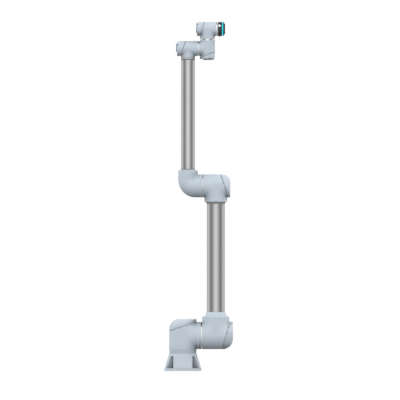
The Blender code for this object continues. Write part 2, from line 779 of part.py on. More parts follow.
def upper_arm_collar():
    """Clamp ring with a tapered outside, round the tube under the elbow."""
    high = ELBOW_Z - MEDIUM_RADIUS - ELBOW_SOCKET - TOUCH_GAP
    low = high - UPPER_COLLAR_HEIGHT
    inner = UPPER_TUBE_RADIUS + TOUCH_GAP
    profile = [(inner + UPPER_COLLAR_WALL, high), (inner + CONE_LIP, low), (inner, low), (inner, high)]
    turned("upper_arm_collar", profile, SHELL_SIDES, tube_frame(UPPER_ARM_X, 0), "tube_metal",
           ring=True)


def elbow_housing():
    frame = upright(UPPER_ARM_X, ELBOW_Z)
    low = -MEDIUM_RADIUS - ELBOW_SOCKET
    branch = rod("elbow_branch", MEDIUM_RADIUS - BRANCH_INSET, low, 0, SHELL_SIDES, frame)
    socket = rod("elbow_socket", UPPER_TUBE_RADIUS + TOUCH_GAP, low - CUT_MARGIN,
                 -MEDIUM_BORE - TUBE_WEB, SHELL_SIDES, tube_frame(UPPER_ARM_X, ELBOW_Z))
    passage = rod("elbow_passage", MEDIUM.shaft_hole + PASSAGE_MARGIN, low, 0, ROUND_SIDES, frame)
    module_housing("elbow_housing", ELBOW, [branch], [socket, passage])


def bend_loft():
    """Quarter bend, lofted from the upright collar's section to the elbow's larger one."""
    axis = Vector((FOREARM_X + BEND_RADIUS, 0, ELBOW_Z + BEND_RADIUS))
    bm = bmesh.new()
    sections = []
    for step in range(BEND_STEPS + 1):
        share = step / BEND_STEPS
        angle = math.pi / 2 * share
        outward = Vector((-math.cos(angle), 0, -math.sin(angle)))
        radius = BEND_COLLAR_RADIUS + (MEDIUM_RADIUS - BEND_COLLAR_RADIUS) * share + BEND_SWELL
        section = []
        for i in range(SHELL_SIDES):
            turn = math.tau * (i + 0.5) / SHELL_SIDES
            reach = max(BEND_RADIUS + radius * math.cos(turn), BEND_CLEARANCE)
            point = axis + outward * reach + BACK * radius * math.sin(turn)
            section.append(bm.verts.new(point))
        sections.append(section)
    for section_a, section_b in zip(sections, sections[1:]):
        bridge(bm, section_a, section_b)
    bm.faces.new(sections[0])
    bm.faces.new(sections[-1])
    bmesh.ops.recalc_face_normals(bm, faces=bm.faces)
    mesh = bpy.data.meshes.new("forearm_bend")
    bm.to_mesh(mesh)
    bm.free()
    return add_object("forearm_bend", mesh, Matrix.Identity(4), "body_paint")


def forearm_bend():
    """Pipe bend between the elbow's flange and the forearm tube, open inside for cables."""
    top = MEDIUM_RADIUS + BEND_COLLAR_RISE
    edge = top + BEND_COLLAR_CHAMFER
    peak = edge + BEND_CONE_HEIGHT
    lip = FOREARM_TUBE_RADIUS + CONE_LIP
    frame = upright(FOREARM_X, ELBOW_Z)
    profile = [(0, peak), (lip, peak), (BEND_COLLAR_RADIUS - BEND_COLLAR_CHAMFER, edge),
               (BEND_COLLAR_RADIUS, top), (BEND_COLLAR_RADIUS, BEND_RADIUS - BEND_OVERLAP),
               (0, BEND_RADIUS - BEND_OVERLAP)]
    collar = turned("bend_collar", profile, SHELL_SIDES, frame)
    length = BEND_NECK + BEND_COLLAR_RADIUS - BEND_RADIUS + BEND_OVERLAP
    barrel = rod("bend_barrel", MEDIUM_RADIUS, ELBOW.ring, ELBOW.ring + length, SHELL_SIDES, ELBOW.frame)
    socket = rod("forearm_socket", FOREARM_TUBE_RADIUS + TOUCH_GAP, MEDIUM_RADIUS, peak + CUT_MARGIN,
                 SHELL_SIDES, tube_frame(FOREARM_X, ELBOW_Z))
    shaft = rod("forearm_core", FOREARM_TUBE_RADIUS - FOREARM_TUBE_WALL, 0, peak, ROUND_SIDES, frame)
    core = rod("bend_core", BEND_CORE_RADIUS, ELBOW.ring, ELBOW.ring + BEND_NECK + BEND_COLLAR_RADIUS,
               ROUND_SIDES, ELBOW.frame)
    bend = bend_loft()
    join(bend, collar, barrel)
    cut(bend, seat_cut(ELBOW, seat_depth(ELBOW)), socket, shaft, core)


def forearm_top():
    """Height of the forearm tube's upper end, where its collar stands."""
    return WRIST_1_Z - SMALL_RADIUS - WRIST_1_STUB - FOREARM_COLLAR_HEIGHT


def forearm_tube():
    low = ELBOW_Z + MEDIUM_RADIUS + TOUCH_GAP
    tube("forearm_tube", FOREARM_TUBE_RADIUS, FOREARM_TUBE_RADIUS - FOREARM_TUBE_WALL, low,
         forearm_top() - TOUCH_GAP, SHELL_SIDES, tube_frame(FOREARM_X, 0), "tube_metal")


def collar_seat():
    """Radius of the seat in the wrist's stub for the forearm collar's neck."""
    return FOREARM_TUBE_RADIUS - WRIST_1_STUB_WALL


def forearm_collar():
    """Coupling between the forearm tube and the wrist: a spigot, a ring that shows and a neck."""
    low = forearm_top()
    high = low + FOREARM_COLLAR_HEIGHT - TOUCH_GAP
    spigot = FOREARM_TUBE_RADIUS - FOREARM_TUBE_WALL - TOUCH_GAP
    neck = collar_seat() - TOUCH_GAP
    hole = neck - FOREARM_COLLAR_WALL
    profile = [(neck, high + FOREARM_COLLAR_NECK), (neck, high), (FOREARM_TUBE_RADIUS, high),
               (FOREARM_TUBE_RADIUS, low), (spigot, low), (spigot, low - FOREARM_COLLAR_SPIGOT),
               (hole, low - FOREARM_COLLAR_SPIGOT), (hole, high + FOREARM_COLLAR_NECK)]
    turned("forearm_collar", profile, SHELL_SIDES, tube_frame(FOREARM_X, 0), "tube_metal", ring=True)


def wrist_1_housing():
    frame = upright(FOREARM_X, WRIST_1_Z)
    low = -SMALL_RADIUS - WRIST_1_STUB
    branch = rod("wrist_1_stub", FOREARM_TUBE_RADIUS, low, 0, SHELL_SIDES, frame)
    seat = rod("collar_seat", collar_seat(), low - CUT_MARGIN, low + FOREARM_COLLAR_NECK + TOUCH_GAP,
               SHELL_SIDES, tube_frame(FOREARM_X, WRIST_1_Z))
    passage = rod("wrist_1_passage", SMALL.shaft_hole + PASSAGE_MARGIN, low, 0, ROUND_SIDES, frame)
    module_housing("wrist_1_housing", WRIST_1, [branch], [seat, passage])


def wrist_2_housing():
    length = WRIST_2_NECK + SMALL_RADIUS
    passage = passage_cut(WRIST_1, WRIST_1.ring + length)
    module_housing("wrist_2_housing", WRIST_2, [module_branch(WRIST_1, length)],
                   [seat_cut(WRIST_1, seat_depth(WRIST_1)), passage])


def wrist_3_housing():
    length = WRIST_3_STUB + WRIST_3_RADIUS
    passage = passage_cut(WRIST_2, WRIST_2.ring + length)
    module_housing("wrist_3_housing", WRIST_3, [module_branch(WRIST_2, length)],
                   [seat_cut(WRIST_2, seat_depth(WRIST_2)), passage])


# Tool head


def head_front():
    """Height of the tool head's front face above the last module's output face."""
    return WRIST_3.ring + HEAD_LENGTH


def head_frame(direction):
    """Frame on the head's axis, level with the button, pointing outwards."""
    origin = WRIST_3.frame @ Vector((0, 0, WRIST_3.ring + BUTTON_STATION))
    return pointing(direction, origin)


BUTTON_FRAME = head_frame((0, -math.cos(BUTTON_ANGLE), math.sin(BUTTON_ANGLE)))
CONNECTOR_FRAME = head_frame(-UP)


def light_bore():
    return WRIST_3_RADIUS - LIGHT_RING_WALL


def tool_head():
    front = head_front()
    back = WRIST_3.ring
    floor = seat_depth(WRIST_3)
    bore_depth = front - FLANGE_SPIGOT - TOUCH_GAP
    profile = [(WRIST_3_RADIUS, front), (WRIST_3_RADIUS, back), (WRIST_3.seat, back),
               (WRIST_3.seat, floor), (HEAD_HOLE_RADIUS, floor), (HEAD_HOLE_RADIUS, bore_depth),
               (light_bore(), bore_depth), (light_bore(), front)]
    head = turned("tool_head", profile, RING_SIDES, WRIST_3.frame, "black_plastic", ring=True)
    outside = WRIST_3_RADIUS + CUT_MARGIN
    well = rod("button_well", BUTTON_RADIUS + RUNNING_GAP, button_low() - BUTTON_TRAVEL - TOUCH_GAP,
               outside, ROUND_SIDES, BUTTON_FRAME)
    socket = rod("connector_well", CONNECTOR_RADIUS + TOUCH_GAP, WRIST_3_RADIUS - CONNECTOR_DEPTH,
                 outside, HOLE_SIDES, CONNECTOR_FRAME)
    cut(head, well, socket)


def tool_light_ring():
    low = head_front() + TOUCH_GAP
    tube("tool_light_ring", WRIST_3_RADIUS, light_bore(), low, low + LIGHT_RING_WIDTH, RING_SIDES,
         WRIST_3.frame, "light_ring")


def tool_flange():
    """Tool plate with its pilot recess, tapped holes and locating hole."""
    disc = head_front() + LIGHT_RING_WIDTH + 2 * TOUCH_GAP
    boss = disc + FLANGE_DISC
    face = boss + FLANGE_BOSS_HEIGHT
    spigot = light_bore() - TOUCH_GAP
    back = head_front() - FLANGE_SPIGOT
    profile = [(0, face - PILOT_DEPTH), (PILOT_RADIUS, face - PILOT_DEPTH), (PILOT_RADIUS, face),
               (FLANGE_BOSS_RADIUS, face), (FLANGE_BOSS_RADIUS, boss), (WRIST_3_RADIUS, boss),
               (WRIST_3_RADIUS, disc), (spigot, disc), (spigot, back), (0, back)]
    flange = turned("tool_flange", profile, RING_SIDES, WRIST_3.frame, "black_plastic")
    holes = bolt_holes("flange_bolt_holes", BOLT_CIRCLE_RADIUS * math.sqrt(0.5), BOLT_HOLE_RADIUS,
                       face - BOLT_HOLE_DEPTH, face + CUT_MARGIN, WRIST_3.frame)
    pin = rod("flange_pin_hole", BOLT_HOLE_RADIUS, face - BOLT_HOLE_DEPTH, face + CUT_MARGIN, HOLE_SIDES,
              WRIST_3.frame @ Matrix.Translation((BOLT_CIRCLE_RADIUS, 0, 0)))
    cut(flange, holes, pin)


def button_low():
    """Distance of the button's inner end from the head's axis."""
    return WRIST_3_RADIUS + BUTTON_PROUD - BUTTON_LENGTH


def teach_button():
    high = WRIST_3_RADIUS + BUTTON_PROUD
    edge = BUTTON_PROUD / 2
    profile = [(0, high), (BUTTON_RADIUS - edge, high), (BUTTON_RADIUS, high - edge),
               (BUTTON_RADIUS, button_low()), (0, button_low())]
    turned("teach_button", profile, ROUND_SIDES, BUTTON_FRAME, "white_plastic")


def tool_connector():
    low = WRIST_3_RADIUS - CONNECTOR_DEPTH + TOUCH_GAP
    high = WRIST_3_RADIUS + CONNECTOR_PROUD
    rod("tool_connector", CONNECTOR_RADIUS, low, high, HOLE_SIDES, CONNECTOR_FRAME, "black_plastic")


def hang(obj, parent):
    """Parent an object where it stands."""
    obj.parent = parent
    obj.matrix_parent_inverse = parent.matrix_world.inverted()


def hang_bodies():
    """Put an empty on each joint's axis, chain the empties and hang each body's pieces on its own."""
    frames = {"base": upright(0, 0)}
    frames["shoulder"] = BASE.frame
    frames["upper_arm"] = SHOULDER.frame
    for module in (ELBOW, WRIST_1, WRIST_2, WRIST_3):
        frames[module.output_body] = module.frame
    axes = {}
    for body, frame in frames.items():
        axis = bpy.data.objects.new(body + "_axis", None)
        axis.matrix_world = frame
        ARM.objects.link(axis)
        if axes:
            hang(axis, list(axes.values())[-1])
        axes[body] = axis
    for body, names in BODY_PIECES.items():
        for name in names:
            hang(ARM.objects[name], axes[body])
    for module in MODULES:
        for piece in HOUSING_PIECES:
            hang(ARM.objects[module.name + "_" + piece], axes[module.housing_body])
        for piece in OUTPUT_PIECES:
            hang(ARM.objects[module.name + "_" + piece], axes[module.output_body])


def freeze(obj):
    """Keep an object's modified mesh, shaded smooth up to its sharp corners."""
    depsgraph = bpy.context.evaluated_depsgraph_get()
    mesh = bpy.data.meshes.new_from_object(obj.evaluated_get(depsgraph))
    obj.modifiers.clear()
    obj.data = mesh
    mesh.shade_smooth()
    mesh.set_sharp_from_angle(angle=SHARP_ANGLE)


def build():
    base_foot()
    base_cable_socket()
    for module in MODULES:
        output_flange(module, "body_paint" if module is BASE else "polished_ring")
        gear_unit(module)
        flexspline(module)
        motor_stator(module)
        motor_shaft(module)
        drive_board(module)
        end_cap(module)
    shoulder_housing()
    upper_arm_base_housing()
    upper_arm_tube()
    upper_arm_collar()
    elbow_housing()
    forearm_bend()
    forearm_tube()
    forearm_collar()
    wrist_1_housing()
    wrist_2_housing()
    wrist_3_housing()
    tool_head()
    tool_light_ring()
    tool_flange()
    teach_button()
    tool_connector()
    bpy.context.view_layer.update()
    for obj in ARM.objects:
        freeze(obj)
    hang_bodies()


build()
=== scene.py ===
"""Looks of an upright collaborative robot arm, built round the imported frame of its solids.

Sizes are in metres, in the frame's own axes: the arm stands in the XZ plane and the camera
looks along +Y. The sealed drives keep their solids. Every piece that shows is built here as a
fine mesh that stands for its solid: castings from distance fields with fillets, caps lofted
over their changing rims, and turned pieces from rounded sections.
"""

import json
import math
from dataclasses import dataclass
from types import SimpleNamespace

import bmesh
import bpy
import numpy as np
from mathutils import Matrix, Vector


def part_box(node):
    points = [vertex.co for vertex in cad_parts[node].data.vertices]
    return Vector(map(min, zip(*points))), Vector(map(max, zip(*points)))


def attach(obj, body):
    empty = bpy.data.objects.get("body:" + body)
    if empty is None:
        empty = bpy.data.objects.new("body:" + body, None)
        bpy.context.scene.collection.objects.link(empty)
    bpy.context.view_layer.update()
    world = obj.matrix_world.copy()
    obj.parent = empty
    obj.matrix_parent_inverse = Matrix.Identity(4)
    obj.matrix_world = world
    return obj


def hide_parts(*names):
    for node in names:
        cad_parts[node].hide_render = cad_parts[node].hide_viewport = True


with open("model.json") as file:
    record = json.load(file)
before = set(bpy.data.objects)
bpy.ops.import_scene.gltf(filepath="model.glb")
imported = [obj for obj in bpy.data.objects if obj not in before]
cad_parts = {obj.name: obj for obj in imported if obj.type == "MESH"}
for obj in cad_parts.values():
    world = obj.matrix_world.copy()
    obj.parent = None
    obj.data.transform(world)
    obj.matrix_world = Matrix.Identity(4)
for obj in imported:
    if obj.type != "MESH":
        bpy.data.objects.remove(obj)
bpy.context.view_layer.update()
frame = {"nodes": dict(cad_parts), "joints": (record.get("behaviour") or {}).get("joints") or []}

UP = Vector((0, 0, 1))
RIGHT = Vector((1, 0, 0))
BACK = Vector((0, 1, 0))
QUARTER = math.pi / 2

# Photograph: the camera's middle and the width of its square frame
VIEW_MIDDLE = (0.1004, 1.0038)
VIEW_WIDTH = 2.348
CAMERA_DISTANCE = 6.0

# Gaps and edges
TOUCH_GAP = 0.0003
PARTING_GAP = 0.0028
SEAM_EDGE = 0.0006
TURNED_EDGE = 0.0008
RING_EDGE = 0.0003
PANEL_EDGE = 0.0012

# Sides and steps of the fine meshes. A rounded corner takes up a share of each side at most, and a side that
# is longer than so many edges is held flat at so many edges from its corners
ROUND_SIDES = 96
BORE_SIDES = 64
SMALL_SIDES = 32
SCREW_SIDES = 24
PIN_SIDES = 12
ROUND_STEPS = 3
PANEL_STEPS = 2
CAP_SIDES = 96
CAP_STEPS = 10
CAP_INNER_STEPS = 4
SHARP_ANGLE = math.radians(38)
LARGEST_CORNER = 0.45
LONG_SIDE = 6
HELD_AT = 2
POLE = 1e-6
ON_PLANE = 2e-5

# Castings: size of the mesh's squares, the fillet in the bend's corner, how far a branch and its barrel
# flow into each other as a share of their radius, how near to an open end they stop doing so, the dome
# that ends a branch wider than its barrel, and the turns in degrees over an open end's edge
LARGE_GRID = 0.0032
MEDIUM_GRID = 0.0028
SMALL_GRID = 0.0019
BEND_FILLET = 0.006
SOFT_JOIN = 0.85
CRISP_JOIN = 0.22
JOIN_REACH = 0.020
DOME_RISE = 2.0
DOME_REACH = 0.6
GRID_MARGIN = 0.012
SNAP_SHARE = 0.36
SETTLE_STEPS = 8
SLOPE_STEP = 1e-6
BRANCH_INSET = 0.0005
SEAT_CLEARANCE = 0.0006
ROUND_TURNS = (30, 60, 90)
CHAMFER_TURNS = (90,)

# Bands and cones that end the castings
RING_WIDTHS = {"elbow_joint": 0.0040}
RING_GROOVE = 0.0007
RING_STEP = 0.004
SHOULDER_BAND = 0.0183
BEND_BAND = 0.0084
BAND_GAP = 0.0008
SOCKET_CHAMFER = 0.005
UPPER_CONE_HEIGHT = 0.024
UPPER_CONE_WALL = 0.0115
BEND_RADIUS = 0.042
BEND_CHAMFER = 0.0045
BEND_BARS = 8
BEND_BAR = 0.006
BEND_LIP_HEIGHT = 0.006
CONE_LIP = 0.0015

# End caps: wall, rim radius on the shallow side and on the deep side, round bosses
CAP_WALL = 0.0035
WRIST_CAP_WALL = 0.0068
CAP_EDGE = 0.004
CAP_LIP = ((-0.0008, 0), (0.0004, 0.0002), (0.0011, 0.0009), (0.0012, 0.0022), (0.0009, 0.0033),
           (0, 0.0042))
CAP_RIMS = {
    "base_joint": 0.059, "shoulder_joint": 0.059, "elbow_joint": 0.048,
    "wrist_1_joint": 0.013, "wrist_2_joint": 0.012, "wrist_3_joint": 0.009,
}
BOSS_RADII = {"wrist_1_joint": 0.025, "wrist_2_joint": 0.0308, "wrist_3_joint": 0.0286}
CAP_SEAL_INSET = 0.0018
CAP_SEAL_WIDTH = 0.0017
BOSS_HEIGHT = 0.0055
BOSS_EDGE = 0.0038
BOSS_OFFSET = 0.006

# Cap screws, in the rim on the wrists and in the end face elsewhere: radius and height of a screw, radius
# and depth of its pocket, and turns about the module's axis from the cap's deep side
SCREW_EDGE = 0.2
HEX_SHARE = 0.5
HEX_DEPTH = 0.6
RIM_SCREW = (0.0033, 0.0044)
RIM_POCKET = (0.0052, 0.0076)
RIM_SCREW_INSET = 0.0040
RIM_SCREWS = {"wrist_1_joint": (60, 180, 300), "wrist_2_joint": (49, 169, 289),
              "wrist_3_joint": (45, 135, 225, 315)}
FACE_SCREW = (0.0024, 0.0018)
FACE_POCKET = (0.0031, 0.0024)
FACE_SCREWS = (60, 180, 300)
FACE_SCREW_CIRCLE = 0.44
FACE_SCREW_SHIFT = 0.16

# Foot
FOOT_POCKET_ACROSS = 0.056
FOOT_POCKET_BACK = 0.047
FOOT_POCKET_LOW = 0.0165
FOOT_POCKET_HIGH = 0.086
FOOT_BOLT_RADIUS = 0.0055
FOOT_BOLT_PLACE = 0.06586
FOOT_LIP = 0.0015
FOOT_THICKNESS = 0.017
CORNERS = ((-1, -1), (-1, 1), (1, -1), (1, 1))

# Threads, whose last turn and a half stays plain, and the cable socket at the back of the foot
PLAIN_TURNS = 1.5
SOCKET_FLAT_HALF = 0.0215
SOCKET_RIM = 0.003
SOCKET_WALL = 0.0025
SOCKET_RECESS = 0.0085
SOCKET_THREAD = 0.0015
SOCKET_THREAD_DEPTH = 0.0006
SOCKET_PINS = 6
SOCKET_PIN = 0.0008
SOCKET_PIN_CIRCLE = 0.55
SOCKET_SCREWS = 4
SOCKET_SCREW = 0.0014

# Forearm coupling
SEAL_HEIGHT = 0.0045
SEAL_DEPTH = 0.0022
SEAL_INSET = 0.0008

# Tool end
HEAD_BAND = 0.0053
HEAD_HOLE = 0.020
BUTTON_CLEARANCE = 0.0004
BUTTON_TRAVEL = 0.0015
BUTTON_DISH = 0.0004
BUTTON_DISH_SHARE = 0.6
PLATE_BOSS = 0.0057
PLATE_RADIUS = 0.0315
PILOT_RADIUS = 0.01575
PILOT_DEPTH = 0.006
BOLT_CIRCLE = 0.025
BOLT_HOLE = 0.003
BOLT_DEPTH = 0.010
HOLE_CHAMFER = 0.0006
PLATE_HOLES = (0, 45, 135, 225, 315)
CONNECTOR_RECESS = 0.003
CONNECTOR_WALL = 0.0009
CONNECTOR_PINS = 8
CONNECTOR_PIN = 0.0004
CONNECTOR_PIN_CIRCLE = 0.6
THREAD_PITCH = 0.0010
THREAD_DEPTH = 0.0004

# Finishes: colours and tones; painted shade: the foot's darker tone, the darker paint that bounced light
# sees, and how far and how fast shade is painted into corners and at tube ends; and the stretch of brushed
# grain
PAINT = (0.500, 0.568, 0.638)
FOOT_SHADE_TONE = 0.94
PAINT_BOUNCE_SHADE = 0.15
CORNER_SHADE_TONE = 0.05
CORNER_SHADE_REACH = 0.16
CORNER_SHADE_CURVE = 0.75
CORNER_SHADE_SAMPLES = 8
TUBE_END_SHADE_TONE = 0.45
TUBE_END_SHADE_REACH = 0.02
GUIDE_TONE = 0.12
GLOW_SPREAD = 0.04
LAMP_SPOTS = 240.0
WIRE_TONES = ((0.66, 0.31, 0.15, 1), (0.30, 0.13, 0.07, 1))
WIRE_SCALE = 140.0
BOARD_TONES = ((0.05, 0.30, 0.15, 1), (0.01, 0.12, 0.06, 1))
BOARD_SCALE = 160.0
CLOUD_SCALE = 9.0
CLOUD_DETAIL = 4.0
RELIEF_DEPTH = 0.0002
ALONG_Z = (1, 1, 0.012)
ROUND_X = (1, 0.02, 0.02)
ROUND_Z = (0.02, 0.02, 1)
RING_FINISHES = {"base_joint": "body_paint", "wrist_2_joint": "polished_ring_upright",
                 "wrist_3_joint": "satin_ring"}
DRIVE_FINISHES = {
    "gear_unit": "gear_steel", "flexspline": "gear_steel", "motor_stator": "motor_core",
    "motor_shaft": "gear_steel", "drive_board": "circuit_board",
}

# A colour mix node's sockets: share, first colour, second colour, and its result
MIX_INPUTS = (0, 6, 7)
MIX_RESULT = 2

# Stage: floor, and grey levels of the studio's fields as (place from back or below, level)
FLOOR_RADIUS = 5.0
FLOOR_TONES = ((0.82, 0.82, 0.82, 1), (0.86, 0.86, 0.86, 1))
FLOOR_CLOUDS = 3.0
FLOOR_ROUGHNESS = 0.9
FLOOR_SPECULAR = 0.1
SIDE_FIELDS = ((0.0, 0.56), (0.24, 0.72), (0.37, 0.96), (0.53, 0.48), (0.70, 0.165), (0.805, 0.165),
               (0.94, 0.56), (1.0, 0.98))
ABOVE_FIELDS = ((0.0, 0.03), (0.53, 0.05), (0.66, 1.0), (1.0, 1.0))
ABOVE_START = (0.02, 0.30)
BELOW_START = (0.0, -0.95)
BELOW_LEVEL = (0.31, 0.31, 0.31, 1)
WHITE = (1, 1, 1, 1)
OVER_ONE = 1.0001

# Soft light: shares of its full level over the sine of the height it comes from, from below to above
SKY_FIELDS = ((0.0, 0.11), (0.10, 0.23), (0.225, 0.02), (0.475, 0.0), (0.525, 0.54), (0.60, 0.90),
              (0.66, 1.0), (0.725, 0.92), (0.80, 0.72), (0.875, 0.42), (0.95, 0.12))
SKY_LEVEL = 2.62


# Reading the frame


def span(node, axis):
    """Lowest and highest place of a CAD node along a signed axis."""
    low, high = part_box(node)
    return sorted((low.dot(axis), high.dot(axis)))


def middle_x(node):
    return sum(span(node, RIGHT)) / 2


def upright(x, z):
    return Matrix.Translation((x, 0, z))


def pointing(direction, origin):
    """Place whose +Z points along a direction."""
    turn = Vector(direction).to_track_quat("Z", "Y").to_matrix().to_4x4()
    return Matrix.Translation(origin) @ turn


def local_points(node, place):
    """A CAD node's points in the frame of a place."""
    points = np.array([vertex.co for vertex in frame["nodes"][node].data.vertices])
    inverse = np.array(place.inverted())
    return points @ inverse[:3, :3].T + inverse[:3, 3]


def radii_and_heights(node, place):
    """A CAD node's points as distances from a place's Z axis and heights along it."""
    points = local_points(node, place)
    return np.hypot(points[:, 0], points[:, 1]), points[:, 2]


def radius_near(node, place, height):
    """Largest radius of a turned CAD node about a place's Z axis near a height."""
    radii, heights = radii_and_heights(node, place)
    return float(radii[np.abs(heights - height) < TOUCH_GAP].max())


def inner_and_outer(node, place=None):
    """Least and largest radius of a CAD node about a place's Z axis, or about its own upright axis."""
    radii, _ = radii_and_heights(node, upright(middle_x(node), 0) if place is None else place)
    return float(radii.min()), float(radii.max())


@dataclass(frozen=True)
class Module:
    """A joint module. In its place's frame +Z points to the output and +X to the cap's deep side."""

    name: str
    body: str
    driven: str
    place: Matrix
    output: Vector
    radius: float
    bore: float
    ring: float
    parting: float
    slope: float
    cap_end: float

    @property
    def face(self):
        return self.place.translation

    def parting_at(self, x):
        """Depth of the cap's parting plane at a distance towards its deep side."""
        return self.parting + (self.radius - x) * math.tan(self.slope)


FACES = {joint["name"]: Vector(joint["pos_m"]) for joint in frame["joints"] if "pos_m" in joint}


def read_module(stem, body, driven, driven_node, output, deep):
    """Read a joint module's sizes from the CAD nodes of its drive and its end cap."""
    name = stem + "_joint"
    face = FACES[stem + "_turn"]
    turn = Matrix((deep, output.cross(deep), output)).transposed().to_4x4()
    place = Matrix.Translation(face) @ turn
    cap = local_points(name + "_end_cap", place)
    radius = float(cap[:, 1].max())
    deep_edge = -cap[cap[:, 0] > radius - TOUCH_GAP, 2].max()
    shallow_edge = -cap[cap[:, 0] < TOUCH_GAP - radius, 2].max()
    slope = math.atan2(shallow_edge - deep_edge, 2 * radius)
    boss = BOSS_HEIGHT if name in BOSS_RADII else 0.0
    gear = local_points(name + "_gear_unit", place)
    ring = span(driven_node, output)[0] - face.dot(output)
    return Module(name, body, driven, place, output, radius, float(gear[:, 1].max()) + TOUCH_GAP, ring,
                  float(deep_edge) - PARTING_GAP / 2, slope, float(-cap[:, 2].min()) - boss)


BASE = read_module("base", "shoulder", "base", "base_foot", -UP, -RIGHT)
SHOULDER = read_module("shoulder", "upper_arm", "shoulder", "shoulder_housing", -RIGHT, -UP)
ELBOW = read_module("elbow", "upper_arm", "forearm", "forearm_bend", -RIGHT, UP)
WRIST_1 = read_module("wrist_1", "forearm", "wrist_1", "wrist_2_housing", RIGHT, UP)
WRIST_2 = read_module("wrist_2", "wrist_1", "wrist_2", "wrist_3_housing", UP, RIGHT)
WRIST_3 = read_module("wrist_3", "wrist_2", "tool", "tool_head", RIGHT, UP)
MODULES = (BASE, SHOULDER, ELBOW, WRIST_1, WRIST_2, WRIST_3)


# Materials


class Nodes:
    """Short ways to add shader nodes to a tree and to link them."""

    def __init__(self, tree):
        self.tree = tree
        self.shader = tree.nodes.get("Principled BSDF")

    def put(self, node, socket, value):
        """Set a socket to a value, or link it to another node's output socket."""
        target = node.inputs[socket]
        if isinstance(value, bpy.types.NodeSocket):
            self.tree.links.new(value, target)
        else:
            target.default_value = value

    def add(self, kind, inputs=None, **settings):
        """Add a node, with its settings, and set or link its inputs."""
        node = self.tree.nodes.new("ShaderNode" + kind)
        for name, value in settings.items():
            setattr(node, name, value)
        for socket, value in (inputs or {}).items():
            self.put(node, socket, value)
        return node

    def place(self):
        return self.add("TexCoord").outputs["Object"]

    def noise(self, vector, scale, detail=3.0):
        return self.add("TexNoise", {"Vector": vector, "Scale": scale, "Detail": detail}).outputs["Fac"]

    def ranged(self, value, low, high):
        """Map a 0 to 1 value to a range."""
        return self.add("MapRange", {"Value": value, "To Min": low, "To Max": high}).outputs["Result"]

    def share(self, value, low, high):
        """Map a range to 0 to 1."""
        return self.add("MapRange", {"Value": value, "From Min": low, "From Max": high}).outputs["Result"]

    def mixed(self, share, colour_a, colour_b):
        inputs = dict(zip(MIX_INPUTS, (share, colour_a, colour_b)))
        return self.add("Mix", inputs, data_type="RGBA").outputs[MIX_RESULT]

    def math(self, operation, a, b=0.0):
        return self.add("Math", {0: a, 1: b}, operation=operation).outputs[0]

    def ramp(self, value, stops, kind="EASE"):
        """Grey ramp over a 0 to 1 value."""
        node = self.add("ValToRGB", {"Fac": value})
        elements = node.color_ramp.elements
        while len(elements) < len(stops):
            elements.new(0.5)
        for element, (place, level) in zip(elements, stops):
            element.position = place
            element.color = (level, level, level, 1)
        node.color_ramp.interpolation = kind
        return node.outputs["Color"]

    def colour(self):
        """What the shader's colour is linked to."""
        return self.shader.inputs["Base Color"].links[0].from_socket

    def paint(self, value):
        self.put(self.shader, "Base Color", value)


def shade(colour, factor=1.0):
    return (*(min(part * factor, 1.0) for part in colour), 1.0)


def new_material(name):
    material = bpy.data.materials.new(name)
    material.use_nodes = True
    return material, Nodes(material.node_tree)


def surface(colour, roughness, metallic=0.0, spread=0.05, tint=0.05, grain=900.0, bump=0.15,
            stretch=(1, 1, 1), specular=0.5):
    """A finish with broad clouds of tone, a fine grain in its roughness, and relief from that grain."""
    material, nodes = new_material("finish")
    place = nodes.place()
    broad = nodes.noise(place, CLOUD_SCALE, CLOUD_DETAIL)
    stretched = nodes.add("Mapping", {"Vector": place, "Scale": stretch})
    fine = nodes.noise(stretched.outputs["Vector"], grain)
    tone = nodes.mixed(broad, shade(colour, 1 - tint), shade(colour, 1 + tint))
    relief = nodes.add("Bump", {"Strength": bump, "Distance": RELIEF_DEPTH, "Height": fine})
    values = {
        "Base Color": nodes.mixed(fine, tone, shade(colour)),
        "Roughness": nodes.ranged(fine, roughness - spread, roughness + spread),
        "Metallic": metallic,
        "Specular IOR Level": specular,
        "Normal": relief.outputs["Normal"],
    }
    for socket, value in values.items():
        nodes.put(nodes.shader, socket, value)
    return material


def with_painted_corner_shade(material, tone, reach, alone=False):
    """Paint shade into a finish: darken it towards a tone in corners and pockets that ambient occlusion
    finds, of a piece alone or with its neighbours.
    """
    nodes = Nodes(material.node_tree)
    corner = nodes.add("AmbientOcclusion", {"Distance": reach}, only_local=alone, samples=CORNER_SHADE_SAMPLES)
    # Painted shade: the colour darkens towards the tone where ambient occlusion finds the surface hemmed in
    depth = nodes.math("POWER", nodes.math("SUBTRACT", 1.0, corner.outputs["AO"]), CORNER_SHADE_CURVE)
    nodes.paint(nodes.mixed(depth, nodes.colour(), tone))
    return material


def paint_with_painted_shade(colour, alone=False):
    """Satin paint with shade painted into its corners, and painted darker for bounced light so that it
    lights its neighbours little.
    """
    material = surface(colour, 0.48, spread=0.06, tint=0.02, grain=1100, bump=0.10, specular=0.22)
    with_painted_corner_shade(material, shade(colour, CORNER_SHADE_TONE), CORNER_SHADE_REACH, alone)
    nodes = Nodes(material.node_tree)
    # Painted shade: bounced light sees the paint far darker than it is, so corners beside it stay dark
    bounced = nodes.add("LightPath").outputs["Is Diffuse Ray"]
    nodes.paint(nodes.mixed(bounced, nodes.colour(), shade(colour, PAINT_BOUNCE_SHADE)))
    return material


def tube_metal(level):
    """Drawn metal tube with fine lines along it, with shade painted on where it enters a socket."""
    colour = (level, level, level)
    material = surface(colour, 0.23, 1.0, spread=0.03, tint=0.015, grain=1500, bump=0.03, stretch=ALONG_Z)
    return with_painted_corner_shade(material, shade(colour, TUBE_END_SHADE_TONE), TUBE_END_SHADE_REACH)


